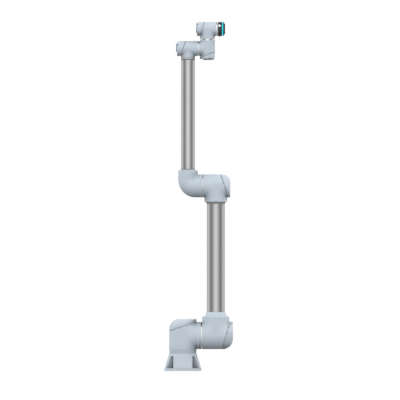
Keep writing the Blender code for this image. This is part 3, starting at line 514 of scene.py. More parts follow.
def coupling_metal(level):
    """Satin metal of a ring between painted castings, with shade painted into its corners as on them."""
    colour = (level, level, level)
    material = surface(colour, 0.55, 0.2, spread=0.06, tint=0.03, grain=1200, bump=0.08)
    return with_painted_corner_shade(material, shade(colour, CORNER_SHADE_TONE), CORNER_SHADE_REACH)


def ring_metal(colour, roughness, metallic, stretch, spread=0.04):
    """Turned ring with fine lines round it."""
    return surface(colour, roughness, metallic, spread, tint=0.02, grain=2200, bump=0.06, stretch=stretch)


def light_guide(colour, strength):
    """A frosted light guide, dark when off, that glows a little more in front of each lamp behind it."""
    material = surface(shade(colour, GUIDE_TONE)[:3], 0.45)
    nodes = Nodes(material.node_tree)
    glow = nodes.noise(nodes.place(), LAMP_SPOTS, detail=1.0)
    strengths = nodes.ranged(glow, strength * (1 - GLOW_SPREAD), strength * (1 + GLOW_SPREAD))
    nodes.put(nodes.shader, "Emission Color", shade(colour))
    nodes.put(nodes.shader, "Emission Strength", strengths)
    return material


def patterned(material, texture, output, scale, tones, **settings):
    """Give a finish a pattern of two tones instead of its plain colour."""
    nodes = Nodes(material.node_tree)
    pattern = nodes.add(texture, {"Vector": nodes.place(), "Scale": scale}, **settings)
    nodes.paint(nodes.mixed(pattern.outputs[output], *tones))
    return material


FINISHES = {
    "body_paint": paint_with_painted_shade(PAINT),
    "lone_paint": paint_with_painted_shade(PAINT, alone=True),
    # The foot's finish is the body paint darkened a little, a painted shade
    "shaded_foot_paint": paint_with_painted_shade(shade(PAINT, FOOT_SHADE_TONE)[:3], alone=True),
    "tube_metal": tube_metal(0.645),
    "upper_tube_metal": tube_metal(0.610),
    "coupling_metal": coupling_metal(0.47),
    "seal_rubber": surface((0.19, 0.19, 0.195), 0.6, tint=0.1, bump=0.2),
    "collar_metal": surface((0.36, 0.36, 0.37), 0.6, 0.3, spread=0.08, grain=1200, bump=0.1),
    "polished_ring": ring_metal((0.93, 0.94, 0.95), 0.14, 1.0, ROUND_X),
    "polished_ring_upright": ring_metal((0.90, 0.91, 0.92), 0.22, 1.0, ROUND_Z),
    "satin_ring": ring_metal((0.86, 0.87, 0.88), 0.42, 0.8, ROUND_X, spread=0.05),
    "black_plastic": surface((0.030, 0.030, 0.031), 0.48, spread=0.07, tint=0.15, bump=0.2),
    "tool_plate": surface((0.045, 0.045, 0.047), 0.36, 0.7, spread=0.06, tint=0.1, grain=1500, bump=0.08,
                          stretch=ROUND_X),
    "light_ring": light_guide((0.008, 0.72, 0.86), 0.95),
    "white_plastic": surface((0.84, 0.84, 0.83), 0.36, tint=0.02),
    "gear_steel": surface((0.42, 0.43, 0.45), 0.28, 1.0, spread=0.08, tint=0.06, grain=1400, bump=0.1),
    "motor_core": patterned(surface(WIRE_TONES[0][:3], 0.38, 1.0, spread=0.08), "TexWave", "Fac", WIRE_SCALE,
                            WIRE_TONES, bands_direction="DIAGONAL"),
    "circuit_board": patterned(surface(BOARD_TONES[0][:3], 0.42), "TexVoronoi", "Distance", BOARD_SCALE,
                               BOARD_TONES, distance="MANHATTAN", feature="F1"),
    "screw_steel": surface((0.028, 0.028, 0.030), 0.42, 0.5, spread=0.08, tint=0.1, grain=1600, bump=0.1),
}
for finish_name, finish_material in FINISHES.items():
    finish_material.name = finish_name


# Fine meshes


def add_object(name, bm):
    """Turn a mesh that is being built into an object of the scene."""
    mesh = bpy.data.meshes.new(name)
    bm.to_mesh(mesh)
    bm.free()
    obj = bpy.data.objects.new(name, mesh)
    bpy.context.scene.collection.objects.link(obj)
    return obj


def cutter(bm):
    """A closed mesh to cut with, which isn't shown."""
    bmesh.ops.recalc_face_normals(bm, faces=bm.faces)
    return add_object("cutter", bm)


def make_piece(name, bm, body, finish, *nodes):
    """Close a mesh as a piece that rides on a body and stands for CAD nodes."""
    bmesh.ops.recalc_face_normals(bm, faces=bm.faces)
    piece = add_object(name, bm)
    dress(piece, finish)
    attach(piece, body)
    if nodes:
        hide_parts(*nodes)
    return piece


def dress(piece, finish):
    """Shade a mesh smooth up to its sharp corners, in one finish."""
    piece.data.shade_smooth()
    piece.data.set_sharp_from_angle(angle=SHARP_ANGLE)
    piece.data.materials.clear()
    piece.data.materials.append(FINISHES[finish])


def applied(obj):
    """An object's mesh with its modifiers applied."""
    depsgraph = bpy.context.evaluated_depsgraph_get()
    return bpy.data.meshes.new_from_object(obj.evaluated_get(depsgraph))


def carve(piece, cut, finish, bevel=0.0):
    """Cut a mesh out of a piece, and round the edges where a bevel is asked for."""
    boolean = piece.modifiers.new("cut", "BOOLEAN")
    boolean.operation = "DIFFERENCE"
    boolean.solver = "EXACT"
    boolean.object = cut
    if bevel:
        edges = piece.modifiers.new("edges", "BEVEL")
        edges.width = bevel
        edges.segments = PANEL_STEPS
        edges.limit_method = "ANGLE"
        edges.angle_limit = SHARP_ANGLE
        edges.use_clamp_overlap = True
    mesh = applied(piece)
    piece.modifiers.clear()
    piece.data = mesh
    bpy.data.objects.remove(cut, do_unlink=True)
    dress(piece, finish)


def angles_of(count):
    """Angles of evenly spaced points on a circle."""
    return [math.tau * i / count for i in range(count)]


def polar(radius, angle, height=0.0):
    """Point at a radius, an angle and a height about the Z axis."""
    return Vector((radius * math.cos(angle), radius * math.sin(angle), height))


def circle(radius, height, sides, place):
    """Points of a circle about a place's Z axis, or its one point where it has no radius."""
    if radius < POLE:
        return [place @ Vector((0, 0, height))]
    return [place @ polar(radius, angle, height) for angle in angles_of(sides)]


def loop(bm, points):
    return [bm.verts.new(point) for point in points]


def bridge(bm, ring_a, ring_b):
    """Join two rings of as many points by squares, or a ring and a pole by triangles."""
    count = max(len(ring_a), len(ring_b))
    first, second = (ring * count if len(ring) == 1 else ring for ring in (ring_a, ring_b))
    for i in range(count):
        j = (i + 1) % count
        corners = dict.fromkeys((first[i], first[j], second[j], second[i]))
        bm.faces.new(list(corners))


def skin(bm, rings, closed=False):
    """Join rings of points in turn, and the last to the first where they close. Returns their loops."""
    loops = [loop(bm, ring) for ring in rings]
    pairs = list(zip(loops, loops[1:]))
    if closed:
        pairs.append((loops[-1], loops[0]))
    for loop_a, loop_b in pairs:
        bridge(bm, loop_a, loop_b)
    return loops


def rounded(profile, edge, closed=True):
    """Round the corners of a section, apart from the ends of an open one, and hold its long sides flat."""
    points = [Vector(point) for point in profile]
    if not edge:
        return points
    smooth = []
    for i, corner in enumerate(points):
        if not closed and i in (0, len(points) - 1):
            smooth.append(corner)
            continue
        sides = (points[i - 1] - corner, points[(i + 1) % len(points)] - corner)
        start, end = (corner + side.normalized() * min(edge, side.length * LARGEST_CORNER) for side in sides)
        held = [[corner + side.normalized() * edge * HELD_AT] if side.length > edge * LONG_SIDE else []
                for side in sides]
        shares = [step / ROUND_STEPS for step in range(ROUND_STEPS + 1)]
        arc = [start.lerp(corner, share).lerp(corner.lerp(end, share), share) for share in shares]
        smooth += held[0] + arc + held[1]
    return smooth


def rod(radius, low, high):
    """Section of a round bar, from the axis over its top and its bottom back to the axis."""
    return [(0, high), (radius, high), (radius, low), (0, low)]


def sleeve(inner, outer, low, high, top=None):
    """Section of a ring, whose outside may taper to another radius at its top."""
    return [(outer if top is None else top, high), (outer, low), (inner, low), (inner, high)]


def turn_into(bm, profile, place, sides=ROUND_SIDES, closed=True, edge=TURNED_EDGE):
    """Turn a section of (radius, height) points, with its corners rounded, about a place's Z axis."""
    section = rounded(profile, edge, closed)
    skin(bm, [circle(radius, height, sides, place) for radius, height in section], closed)


def turned(name, profile, place, body, finish, *nodes, **options):
    bm = bmesh.new()
    turn_into(bm, profile, place, **options)
    return make_piece(name, bm, body, finish, *nodes)


def hole_into(bm, place, radius, low, high):
    """A round cutter between two heights."""
    turn_into(bm, rod(radius, low, high), place, sides=SMALL_SIDES, closed=False, edge=0.0)


# Castings


def eased(share):
    """A 0 to 1 share that starts and ends level."""
    return share * share * (3 - 2 * share)


def bar(origin, axis, radius, start):
    """Distance field of a round bar, endless from a start along its axis."""
    origin = np.array(origin)
    axis = np.array(axis)

    def field(points):
        rel = points - origin
        along = np.maximum(rel @ axis, start)
        foot = rel - along[:, None] * axis
        reach = np.linalg.norm(foot, axis=1).clip(POLE)
        return reach - radius, foot / reach[:, None]

    return field


def filleted(field_a, field_b, fillet):
    """Union of two fields, with a fillet that fades out where the two run alongside each other."""

    def distance(points):
        a, normal_a = field_a(points)
        b, normal_b = field_b(points)
        room = fillet * np.clip(1 - (normal_a * normal_b).sum(axis=1), 0, 1)
        corner = np.hypot(np.maximum(room - a, 0), np.maximum(room - b, 0))
        return np.maximum(room, np.minimum(a, b)) - corner

    return distance


def joined(module, branch, openings, join):
    """Field of a barrel and a branch that flow into each other in front and meet at an edge at the sides."""
    along = np.array(module.output)
    out = np.array(branch.place.to_3x3().col[2])
    across = np.cross(along, out)
    origin = np.array(branch.place.translation)
    largest = max(module.radius, branch.radius)
    square = largest ** 2
    fade = largest * DOME_REACH if branch.radius > module.radius else POLE

    def distance(points):
        rel = points - origin
        ahead = rel @ out
        barrel = np.sqrt(ahead ** 2 + square - module.radius ** 2)
        dome = DOME_RISE * ahead.clip(None, 0) ** 2
        stub = np.sqrt((rel @ along) ** 2 + square - branch.radius ** 2 + dome)
        low = np.minimum(barrel, stub)
        reach = join * largest * (1 - low * low / square).clip(0, 1) * (1 + ahead / fade).clip(0, 1)
        for opening in openings:
            reach = reach * eased((-opening.height(points) / JOIN_REACH).clip(0, 1))
        reach = reach.clip(POLE)
        shared = (reach - np.abs(barrel - stub)).clip(0)
        low = (low - shared * shared / (4 * reach)).clip(0)
        return ((rel @ across) ** 2 + low * low - square) / (2 * largest)

    return distance


def slope_of(points, distance):
    """Gradient of a distance field."""
    steps = np.eye(3) * SLOPE_STEP
    rises = [distance(points + step) - distance(points - step) for step in steps]
    return np.stack(rises, axis=1) / (2 * SLOPE_STEP)


def settle(points, distance, grid, steps=SETTLE_STEPS):
    """Move points along a field's slope on to its surface."""
    for _ in range(steps):
        slope = slope_of(points, distance)
        size = (slope * slope).sum(axis=1).clip(POLE)
        move = (distance(points) / size).clip(-grid, grid)
        points = points - move[:, None] * slope
    return points


def gridded(solids, grid):
    """Even mesh over the union of round solids, each a place, a radius and a length along its Z axis."""
    bm = bmesh.new()
    for place, radius, low, high in solids:
        middle = place @ Matrix.Translation((0, 0, (low + high) / 2))
        bmesh.ops.create_cone(bm, cap_ends=True, segments=BORE_SIDES, radius1=radius, radius2=radius,
                              depth=high - low, matrix=middle)
    rough = cutter(bm)
    remesh = rough.modifiers.new("grid", "REMESH")
    remesh.mode = "VOXEL"
    remesh.voxel_size = grid
    mesh = applied(rough)
    bpy.data.objects.remove(rough, do_unlink=True)
    return mesh


@dataclass(frozen=True)
class Opening:
    """A flat end of a casting: a point and the outward normal of its plane, and the bore in it."""

    point: Vector
    normal: Vector
    bore_place: Matrix
    bore: float
    depth: float = 0.0
    edge: float = SEAM_EDGE
    turns: tuple = ROUND_TURNS

    @property
    def start(self):
        """A point of the plane where the rounded edge starts."""
        return self.point - self.normal * self.edge

    def height(self, points):
        """Height of points over the plane where the rounded edge starts."""
        return (points - np.array(self.start)) @ np.array(self.normal)

    def bore_ring(self, depth=0.0):
        """Points of the bore's mouth on the plane, or of its floor at a depth."""
        axis = self.bore_place.to_3x3().col[2]
        lean = axis.dot(self.normal)
        points = []
        for point in circle(self.bore, 0, BORE_SIDES, self.bore_place):
            rise = (self.point - point).dot(self.normal) / lean
            points.append(point + axis * rise - self.normal * depth)
        return points


def snapped(points, distance, openings, grid):
    """Draw the points close to each opening's plane on to it, so that the cut leaves no slivers."""
    for opening in openings:
        near = np.abs(opening.height(points)) < SNAP_SHARE * grid
        close = points[near]
        for _ in range(SETTLE_STEPS):
            close = settle(close, distance, grid, 1)
            close = close - opening.height(close)[:, None] * np.array(opening.normal)
        points[near] = close
    return points


def round_over(bm, edges, opening, distance):
    """Carry an opening's loop over its rounded edge and return the loop's last edges."""
    start = {}
    for vert in {vert for edge in edges for vert in edge.verts}:
        slope = Vector(slope_of(np.array([vert.co]), distance)[0])
        inward = opening.normal * slope.dot(opening.normal) - slope
        start[vert] = (vert.co.copy(), inward.normalized())
    for turn in map(math.radians, opening.turns):
        made = bmesh.ops.extrude_edge_only(bm, edges=edges)["geom"]
        fresh = [item for item in made if isinstance(item, bmesh.types.BMVert)]
        edges = [item for item in made if isinstance(item, bmesh.types.BMEdge)]
        rise = opening.edge * math.sin(turn)
        inset = opening.edge * (1 - math.cos(turn))
        moved = {}
        for vert in fresh:
            old = next(edge.other_vert(vert) for edge in vert.link_edges if edge.other_vert(vert) in start)
            origin, inward = start[old]
            vert.co = origin + opening.normal * rise + inward * inset
            moved[vert] = start[old]
        start = moved
        edges = [edge for edge in edges if all(vert in moved for vert in edge.verts)]
    return edges


def close_openings(bm, openings, through, distance):
    """Round each opening's edge, and fill its end face up to the mouth of its bore."""
    mouths = []
    for opening in openings:
        edges = [edge for edge in bm.edges if edge.is_boundary
                 and all(abs(opening.height(np.array(vert.co))) < 2 * ON_PLANE for vert in edge.verts)]
        edges = round_over(bm, edges, opening, distance)
        mouth = loop(bm, opening.bore_ring())
        edges += [bm.edges.new(pair) for pair in zip(mouth, mouth[1:] + mouth[:1])]
        bmesh.ops.triangle_fill(bm, use_beauty=True, use_dissolve=False, edges=edges)
        mouths.append(mouth)
    if through:
        bridge(bm, *(mouths[i] for i in through))
    for i, (opening, mouth) in enumerate(zip(openings, mouths)):
        if i not in through:
            floor = loop(bm, opening.bore_ring(opening.depth))
            bridge(bm, mouth, floor)
            bm.faces.new(floor)


def cast(name, node, body, finish, solids, distance, openings, grid, through=()):
    """A casting: an even mesh settled on a distance field and cut at its openings. Two may share a bore."""
    mesh = gridded(solids, grid)
    points = np.array([vertex.co for vertex in mesh.vertices])
    points = snapped(settle(points, distance, grid), distance, openings, grid)
    mesh.vertices.foreach_set("co", points.ravel())
    bm = bmesh.new()
    bm.from_mesh(mesh)
    for opening in openings:
        geometry = [*bm.verts, *bm.edges, *bm.faces]
        bmesh.ops.bisect_plane(bm, geom=geometry, dist=ON_PLANE, plane_co=opening.start,
                               plane_no=opening.normal, clear_outer=True)
    rim = [vert for vert in bm.verts if vert.is_boundary]
    bmesh.ops.remove_doubles(bm, verts=rim, dist=ON_PLANE)
    close_openings(bm, openings, through, distance)
    return make_piece(name, bm, body, finish, node)


@dataclass(frozen=True)
class Branch:
    """A round stub of a housing: where it leaves the barrel's axis, its length to the end, its bore."""

    place: Matrix
    radius: float
    length: float
    bore: float
    depth: float
    edge: float = SEAM_EDGE
    turns: tuple = ROUND_TURNS

    def opening(self):
        axis = self.place.to_3x3().col[2]
        end = self.place.translation + axis * self.length
        return Opening(end, axis, self.place, self.bore, self.depth, self.edge, self.turns)


def module_openings(module):
    """The output end and the cap's end of a module's barrel."""
    face = Opening(module.face, module.output, module.place, module.bore)
    tilt = Vector((math.sin(module.slope), 0, -math.cos(module.slope)))
    point = module.place @ Vector((0, 0, -module.parting_at(0) + PARTING_GAP / 2))
    return [face, Opening(point, module.place.to_3x3() @ tilt, module.place, module.bore)]


def housing(name, node, module, branch, join, grid, finish="body_paint"):
    """Barrel of a joint module with one branch, bored from its output to its cap."""
    openings = [*module_openings(module), branch.opening()]
    solids = [(module.place, module.radius, -module.cap_end - GRID_MARGIN, GRID_MARGIN),
              (branch.place, branch.radius, 0, branch.length + GRID_MARGIN)]
    distance = joined(module, branch, openings, join)
    cast(name, node, module.body, finish, solids, distance, openings, grid, through=(0, 1))


# Rings that show in the seams


def spigot(module):
    """Radius and end of the spigot on a module's output flange, which holds what the module turns."""
    node = module.name + "_output_flange"
    top = float(radii_and_heights(node, module.place)[1].max())
    return radius_near(node, module.place, top), top


def seat_radius(module):
    """Radius of the seat that takes a module's spigot."""
    return spigot(module)[0] + TOUCH_GAP


def seat_depth(module):
    return spigot(module)[1] - module.ring + TOUCH_GAP


def rim_top(module):
    """Height of the flange's rim, which shows in the seam."""
    return RING_WIDTHS.get(module.name, module.ring) - TOUCH_GAP


def output_ring(module):
    """Output flange, with a groove beside its rim."""
    node = module.name + "_output_flange"
    neck, top = spigot(module)
    hole, rim = inner_and_outer(node, module.place)
    height = rim_top(module)
    step = rim - RING_STEP
    profile = [(neck, top), (neck, height), (rim, height), (rim, RING_GROOVE), (step, RING_GROOVE),
               (step, TOUCH_GAP), (hole, TOUCH_GAP), (hole, top)]
    finish = RING_FINISHES.get(module.name, "polished_ring")
    turned(module.name + "_ring", profile, module.place, module.driven, finish, node, edge=RING_EDGE)


# End caps


def cap_section(module, angle, inset, bends):
    """Section of a cap from the parting plane, over the rim, to the end face, at an angle round it."""
    radius = module.radius - inset
    end = module.cap_end - inset
    edge = module.parting_at(radius * math.cos(angle)) + PARTING_GAP / 2
    deep = (1 + math.cos(angle)) / 2
    fillet = CAP_EDGE + (CAP_RIMS[module.name] - CAP_EDGE) * deep
    fillet = min(fillet, module.cap_end - edge - CAP_EDGE / 2)
    fillet = max(fillet - inset, CAP_EDGE / 4)
    section = [(radius, edge)]
    if not inset:
        section = [(radius + rise, edge + drop) for rise, drop in CAP_LIP]
    for bend in bends:
        reach = radius - fillet * (1 - math.cos(bend))
        section.append((reach, end - fillet * (1 - math.sin(bend))))
    return section


def cap_shell(bm, module, inset, steps):
    """One skin of a cap. Returns its ring on the parting plane."""
    bends = [QUARTER * step / steps for step in range(steps + 1)]
    columns = []
    for angle in angles_of(CAP_SIDES):
        section = cap_section(module, angle, inset, bends)
        columns.append([module.place @ polar(reach, angle, -depth) for reach, depth in section])
    centre = module.place @ Vector((0, 0, inset - module.cap_end))
    return skin(bm, [*zip(*columns), [centre]])[0]


def end_cap(module):
    """Moulded cap with a wall, over a rim whose radius grows towards its deep side."""
    wrist = module.name in BOSS_RADII
    bm = bmesh.new()
    outside = cap_shell(bm, module, 0.0, CAP_STEPS)
    inside = cap_shell(bm, module, WRIST_CAP_WALL if wrist else CAP_WALL, CAP_INNER_STEPS)
    bridge(bm, outside, inside)
    cap = make_piece(module.name + "_cap", bm, module.body, "body_paint", module.name + "_end_cap")
    cap_screws(module, cap, wrist)
    cap_seal(module)
    if wrist:
        cap_boss(module)


def cap_seal(module):
    """Dark seal sunk in the seam between a housing and its cap."""
    outer = module.radius - CAP_SEAL_INSET
    rise = PARTING_GAP / 2 - TOUCH_GAP
    rings = []
    for radius, offset in sleeve(outer - CAP_SEAL_WIDTH, outer, -rise, rise):
        flat = circle(radius, 0, CAP_SIDES, Matrix())
        rings.append([module.place @ Vector((point.x, point.y, offset - module.parting_at(point.x)))
                      for point in flat])
    bm = bmesh.new()
    skin(bm, rings, closed=True)
    make_piece(module.name + "_cap_seal", bm, module.body, "black_plastic")


def screw_into(bm, place, radius, height):
    """Socket-head screw whose head ends at a place's XY plane."""
    angles = angles_of(SCREW_SIDES)
    sixth = math.pi / 3
    flats = [radius * HEX_SHARE / math.cos((angle + sixth / 2) % sixth - sixth / 2) for angle in angles]
    edge = radius * SCREW_EDGE
    floor = height * HEX_DEPTH
    outside = ((0, height), (radius, height), (radius, edge), (radius - edge, 0))
    rings = [circle(reach, -depth, SCREW_SIDES, place) for reach, depth in outside]
    for depth in (0, floor):
        rings.append([place @ polar(reach, angle, -depth) for reach, angle in zip(flats, angles)])
    skin(bm, [*rings, circle(0, -floor, 1, place)])


def cap_screws(module, cap, wrist):
    """Sink the cap's screws in round pockets, in its rim on the wrists and in its end face elsewhere."""
    screw, pocket = (RIM_SCREW, RIM_POCKET) if wrist else (FACE_SCREW, FACE_POCKET)
    turns = RIM_SCREWS[module.name] if wrist else FACE_SCREWS
    reach = module.radius - RIM_SCREW_INSET if wrist else module.radius * FACE_SCREW_CIRCLE
    shift = 0.0 if wrist else module.radius * FACE_SCREW_SHIFT
    pockets = bmesh.new()
    screws = bmesh.new()
    outward = Matrix.Rotation(math.pi, 4, "X")
    for angle in map(math.radians, turns):
        offset = polar(reach, angle, -module.cap_end) - RIGHT * shift
        place = module.place @ Matrix.Translation(offset) @ outward
        hole_into(pockets, place, pocket[0], -pocket[1], GRID_MARGIN)
        seat = place @ Matrix.Translation((0, 0, screw[1] + TOUCH_GAP - pocket[1]))
        screw_into(screws, seat, *screw)
    carve(cap, cutter(pockets), "body_paint")
    make_piece(module.name + "_cap_screws", screws, module.body, "screw_steel")


def cap_boss(module):
    """Round cover that stands on a wrist cap's end face, which looks along the module's -Z."""
    place = module.place @ Matrix.Translation((BOSS_OFFSET, 0, -module.cap_end))
    profile = rod(BOSS_RADII[module.name], CAP_WALL / 2, -BOSS_HEIGHT)
    turned(module.name + "_cap_boss", profile, place, module.body, "body_paint", closed=False,
           edge=BOSS_EDGE)


# Sockets and connectors


def pins(name, body, place, ring, count, radius, low, high):
    """A ring of round contact pins."""
    bm = bmesh.new()
    for angle in angles_of(count):
        offset = Matrix.Translation(polar(ring, angle))
        turn_into(bm, rod(radius, low, high), place @ offset, sides=PIN_SIDES, closed=False, edge=radius / 2)
    make_piece(name, bm, body, "gear_steel")


def threaded(radius, low, high, pitch, depth):
    """Section of a threaded collar, from its top down its outer side."""
    profile = []
    height = high
    while height - PLAIN_TURNS * pitch > low:
        half = height - pitch / 2
        profile += [(radius, height), (radius, half), (radius - depth, half)]
        height -= pitch
        profile.append((radius - depth, height))
    return profile + [(radius, height), (radius, low)]


# Foot


def read_socket(node):
    """The cable socket's place, the radii of its rim, body and collar, the flat under its rim, its ends."""
    place = pointing(BACK, (0, 0, sum(span(node, UP)) / 2))
    radii, heights = radii_and_heights(node, place)
    low = float(heights.min())
    high = float(heights.max())
    rim = float(radii.max())
    flat = float(heights[radii > rim - TOUCH_GAP].min())
    return SimpleNamespace(place=place, rim=rim, body=radius_near(node, place, low),
                           collar=radius_near(node, place, high), flat=flat, low=low, high=high)


SOCKET = read_socket("base_cable_socket")


def box_into(bm, low, high):
    low = Vector(low)
    high = Vector(high)
    place = Matrix.Translation((low + high) / 2) @ Matrix.Diagonal((*(high - low), 1.0))
    bmesh.ops.create_cube(bm, size=1.0, matrix=place)


def foot_pockets():
    """Cutter of the bolt pockets in the foot's corners and of the flat behind the cable socket."""
    bm = bmesh.new()
    reach = span("base_foot", RIGHT)[1] + GRID_MARGIN
    for side_x, side_y in CORNERS:
        xs = sorted((side_x * FOOT_POCKET_ACROSS, side_x * reach))
        ys = sorted((side_y * FOOT_POCKET_BACK, side_y * reach))
        box_into(bm, (xs[0], ys[0], FOOT_POCKET_LOW), (xs[1], ys[1], FOOT_POCKET_HIGH))
    z = SOCKET.place.translation.z
    half = SOCKET_FLAT_HALF
    box_into(bm, (-half, SOCKET.flat - TOUCH_GAP, z - half), (half, reach, z + half))
    return cutter(bm)


def foot_holes():
    """Cutter of the bolt holes through the foot's plate and of the cable socket's seat."""
    bm = bmesh.new()
    for side_x, side_y in CORNERS:
        place = Matrix.Translation((side_x * FOOT_BOLT_PLACE, side_y * FOOT_BOLT_PLACE, 0))
        hole_into(bm, place, FOOT_BOLT_RADIUS, -GRID_MARGIN, FOOT_POCKET_LOW + GRID_MARGIN)
    hole_into(bm, SOCKET.place, SOCKET.body + TOUCH_GAP, SOCKET.low - TOUCH_GAP, SOCKET.flat + GRID_MARGIN)
    return cutter(bm)


def foot():
    top = span("base_foot", UP)[1]
    radius = inner_and_outer("base_foot", upright(0, 0))[1]
    flange = "base_joint_output_flange"
    bore = radius_near(flange, upright(0, 0), span(flange, UP)[0]) + TOUCH_GAP
    profile = [(0, FOOT_THICKNESS), (bore, FOOT_THICKNESS), (bore, top), (BASE.radius, top),
               (radius - FOOT_LIP, FOOT_THICKNESS), (radius, FOOT_THICKNESS), (radius, 0), (0, 0)]
    piece = turned("foot", profile, upright(0, 0), "base", "shaded_foot_paint", "base_foot", closed=False)
    carve(piece, foot_pockets(), "shaded_foot_paint", PANEL_EDGE)
    carve(piece, foot_holes(), "shaded_foot_paint")
    flat = piece.modifiers.new("flat", "WEIGHTED_NORMAL")
    flat.keep_sharp = True


def cable_socket():
    """Threaded cable socket on a flat of the foot, with its pins and the screws of its rim."""
    top = SOCKET.flat + SOCKET_RIM
    inner = SOCKET.collar - SOCKET_WALL
    floor = SOCKET.high - SOCKET_RECESS
    thread = threaded(SOCKET.collar, top, SOCKET.high, SOCKET_THREAD, SOCKET_THREAD_DEPTH)
    profile = [(0, floor), (inner, floor), (inner, SOCKET.high), *thread, (SOCKET.rim, top),
               (SOCKET.rim, SOCKET.flat), (SOCKET.body, SOCKET.flat), (SOCKET.body, SOCKET.low),
               (0, SOCKET.low)]
    turned("cable_socket_shell", profile, SOCKET.place, "base", "black_plastic", "base_cable_socket",
           closed=False, sides=BORE_SIDES, edge=SOCKET_THREAD_DEPTH / 2)
    pins("cable_socket_pins", "base", SOCKET.place, inner * SOCKET_PIN_CIRCLE, SOCKET_PINS, SOCKET_PIN,
         floor - TOUCH_GAP, SOCKET.high - SOCKET_WALL)
    screws = bmesh.new()
    offset = Matrix.Translation(((SOCKET.rim + SOCKET.collar) / 2, 0, top + SOCKET_SCREW))
    for i in range(SOCKET_SCREWS):
        turn = Matrix.Rotation(math.tau * (i + 0.5) / SOCKET_SCREWS, 4, "Z")
        screw_into(screws, SOCKET.place @ turn @ offset, SOCKET_SCREW, SOCKET_SCREW - TOUCH_GAP)
    make_piece("cable_socket_screws", screws, "base", "screw_steel")


# Build of the arm


def bare_tube(name, node, body, finish):
    """A bare metal tube whose ends sit in sockets."""
    profile = sleeve(*inner_and_outer(node), *span(node, UP))
    turned(name, profile, upright(middle_x(node), 0), body, finish, node)


def shoulder():
    radius = SHOULDER.radius - BRANCH_INSET
    z = SHOULDER.face.z
    end = SHOULDER.face.x - SHOULDER.ring
    seat = seat_radius(SHOULDER)
    branch = Branch(pointing(RIGHT, (0, 0, z)), radius, end - SHOULDER_BAND, seat, SEAT_CLEARANCE)
    housing("shoulder_casting", "shoulder_housing", BASE, branch, SOFT_JOIN, LARGE_GRID)
    low = end - SHOULDER_BAND + BAND_GAP
    turned("shoulder_band", sleeve(seat, radius, 0, end - low), pointing(RIGHT, (low, 0, z)), "shoulder",
           "body_paint", edge=RING_EDGE)


def upper_arm():
    x = middle_x("upper_arm_tube")
    z = SHOULDER.face.z
    outer = inner_and_outer("upper_arm_tube")[1]
    socket = outer + TOUCH_GAP
    top = span("upper_arm_base_housing", UP)[1] - UPPER_CONE_HEIGHT
    depth = top - span("upper_arm_tube", UP)[0] + TOUCH_GAP
    branch = Branch(upright(x, z), SHOULDER.radius - BRANCH_INSET, top - z, socket, depth, SOCKET_CHAMFER,
                    CHAMFER_TURNS)
    housing("upper_arm_casting", "upper_arm_base_housing", SHOULDER, branch, SOFT_JOIN, LARGE_GRID,
            "lone_paint")
    cone = sleeve(socket, outer + UPPER_CONE_WALL, TOUCH_GAP, UPPER_CONE_HEIGHT, outer + CONE_LIP)
    turned("upper_arm_cone", cone, upright(x, top), "upper_arm", "lone_paint")
    bare_tube("upper_tube", "upper_arm_tube", "upper_arm", "upper_tube_metal")
    widest = inner_and_outer("upper_arm_collar")[1]
    collar = sleeve(socket, socket + CONE_LIP, *span("upper_arm_collar", UP), widest)
    turned("upper_tube_collar", collar, upright(x, 0), "upper_arm", "collar_metal", "upper_arm_collar")


def elbow():
    x = middle_x("upper_arm_tube")
    z = ELBOW.face.z
    tube = inner_and_outer("upper_arm_tube")[1]
    high = span("upper_arm_tube", UP)[1]
    low = span("elbow_housing", UP)[0]
    branch = Branch(pointing(-UP, (x, 0, z)), ELBOW.radius - BRANCH_INSET, z - low, tube + TOUCH_GAP,
                    high - low + TOUCH_GAP)
    housing("elbow_casting", "elbow_housing", ELBOW, branch, SOFT_JOIN, MEDIUM_GRID)


def bend_field(x, z, radius_a, radius_b):
    """Distance field of a quarter bend, whose radius changes along it, with its two straight ends."""
    axis = np.array((x + BEND_RADIUS, 0, z + BEND_RADIUS))
    middle = (x, 0, z)
    straight = filleted(bar(middle, UP, radius_a, BEND_RADIUS), bar(middle, RIGHT, radius_b, BEND_RADIUS),
                        BEND_FILLET)

    def distance(points):
        rel = points - axis
        angle = np.arctan2(-rel[:, 2], -rel[:, 0])
        angle = np.where(angle < -QUARTER, QUARTER, angle).clip(0, QUARTER)
        radius = radius_a + (radius_b - radius_a) * eased(angle / QUARTER)
        line = axis - BEND_RADIUS * np.stack((np.cos(angle), np.zeros_like(angle), np.sin(angle)), axis=1)
        bend = np.linalg.norm(points - line, axis=1) - radius
        return np.minimum(straight(points), bend)

    return distance


def bend_solids(x, z, radius_a, radius_b):
    """Short bars along the bend's middle line, from which its mesh starts."""
    solids = []
    for step in range(BEND_BARS + 1):
        share = step / BEND_BARS
        across = math.cos(QUARTER * share)
        along = math.sin(QUARTER * share)
        point = (x + BEND_RADIUS * (1 - across), 0, z + BEND_RADIUS * (1 - along))
        radius = radius_a + (radius_b - radius_a) * share
        solids.append((pointing((along, 0, -across), point), radius, -BEND_BAR, BEND_BAR))
    return solids


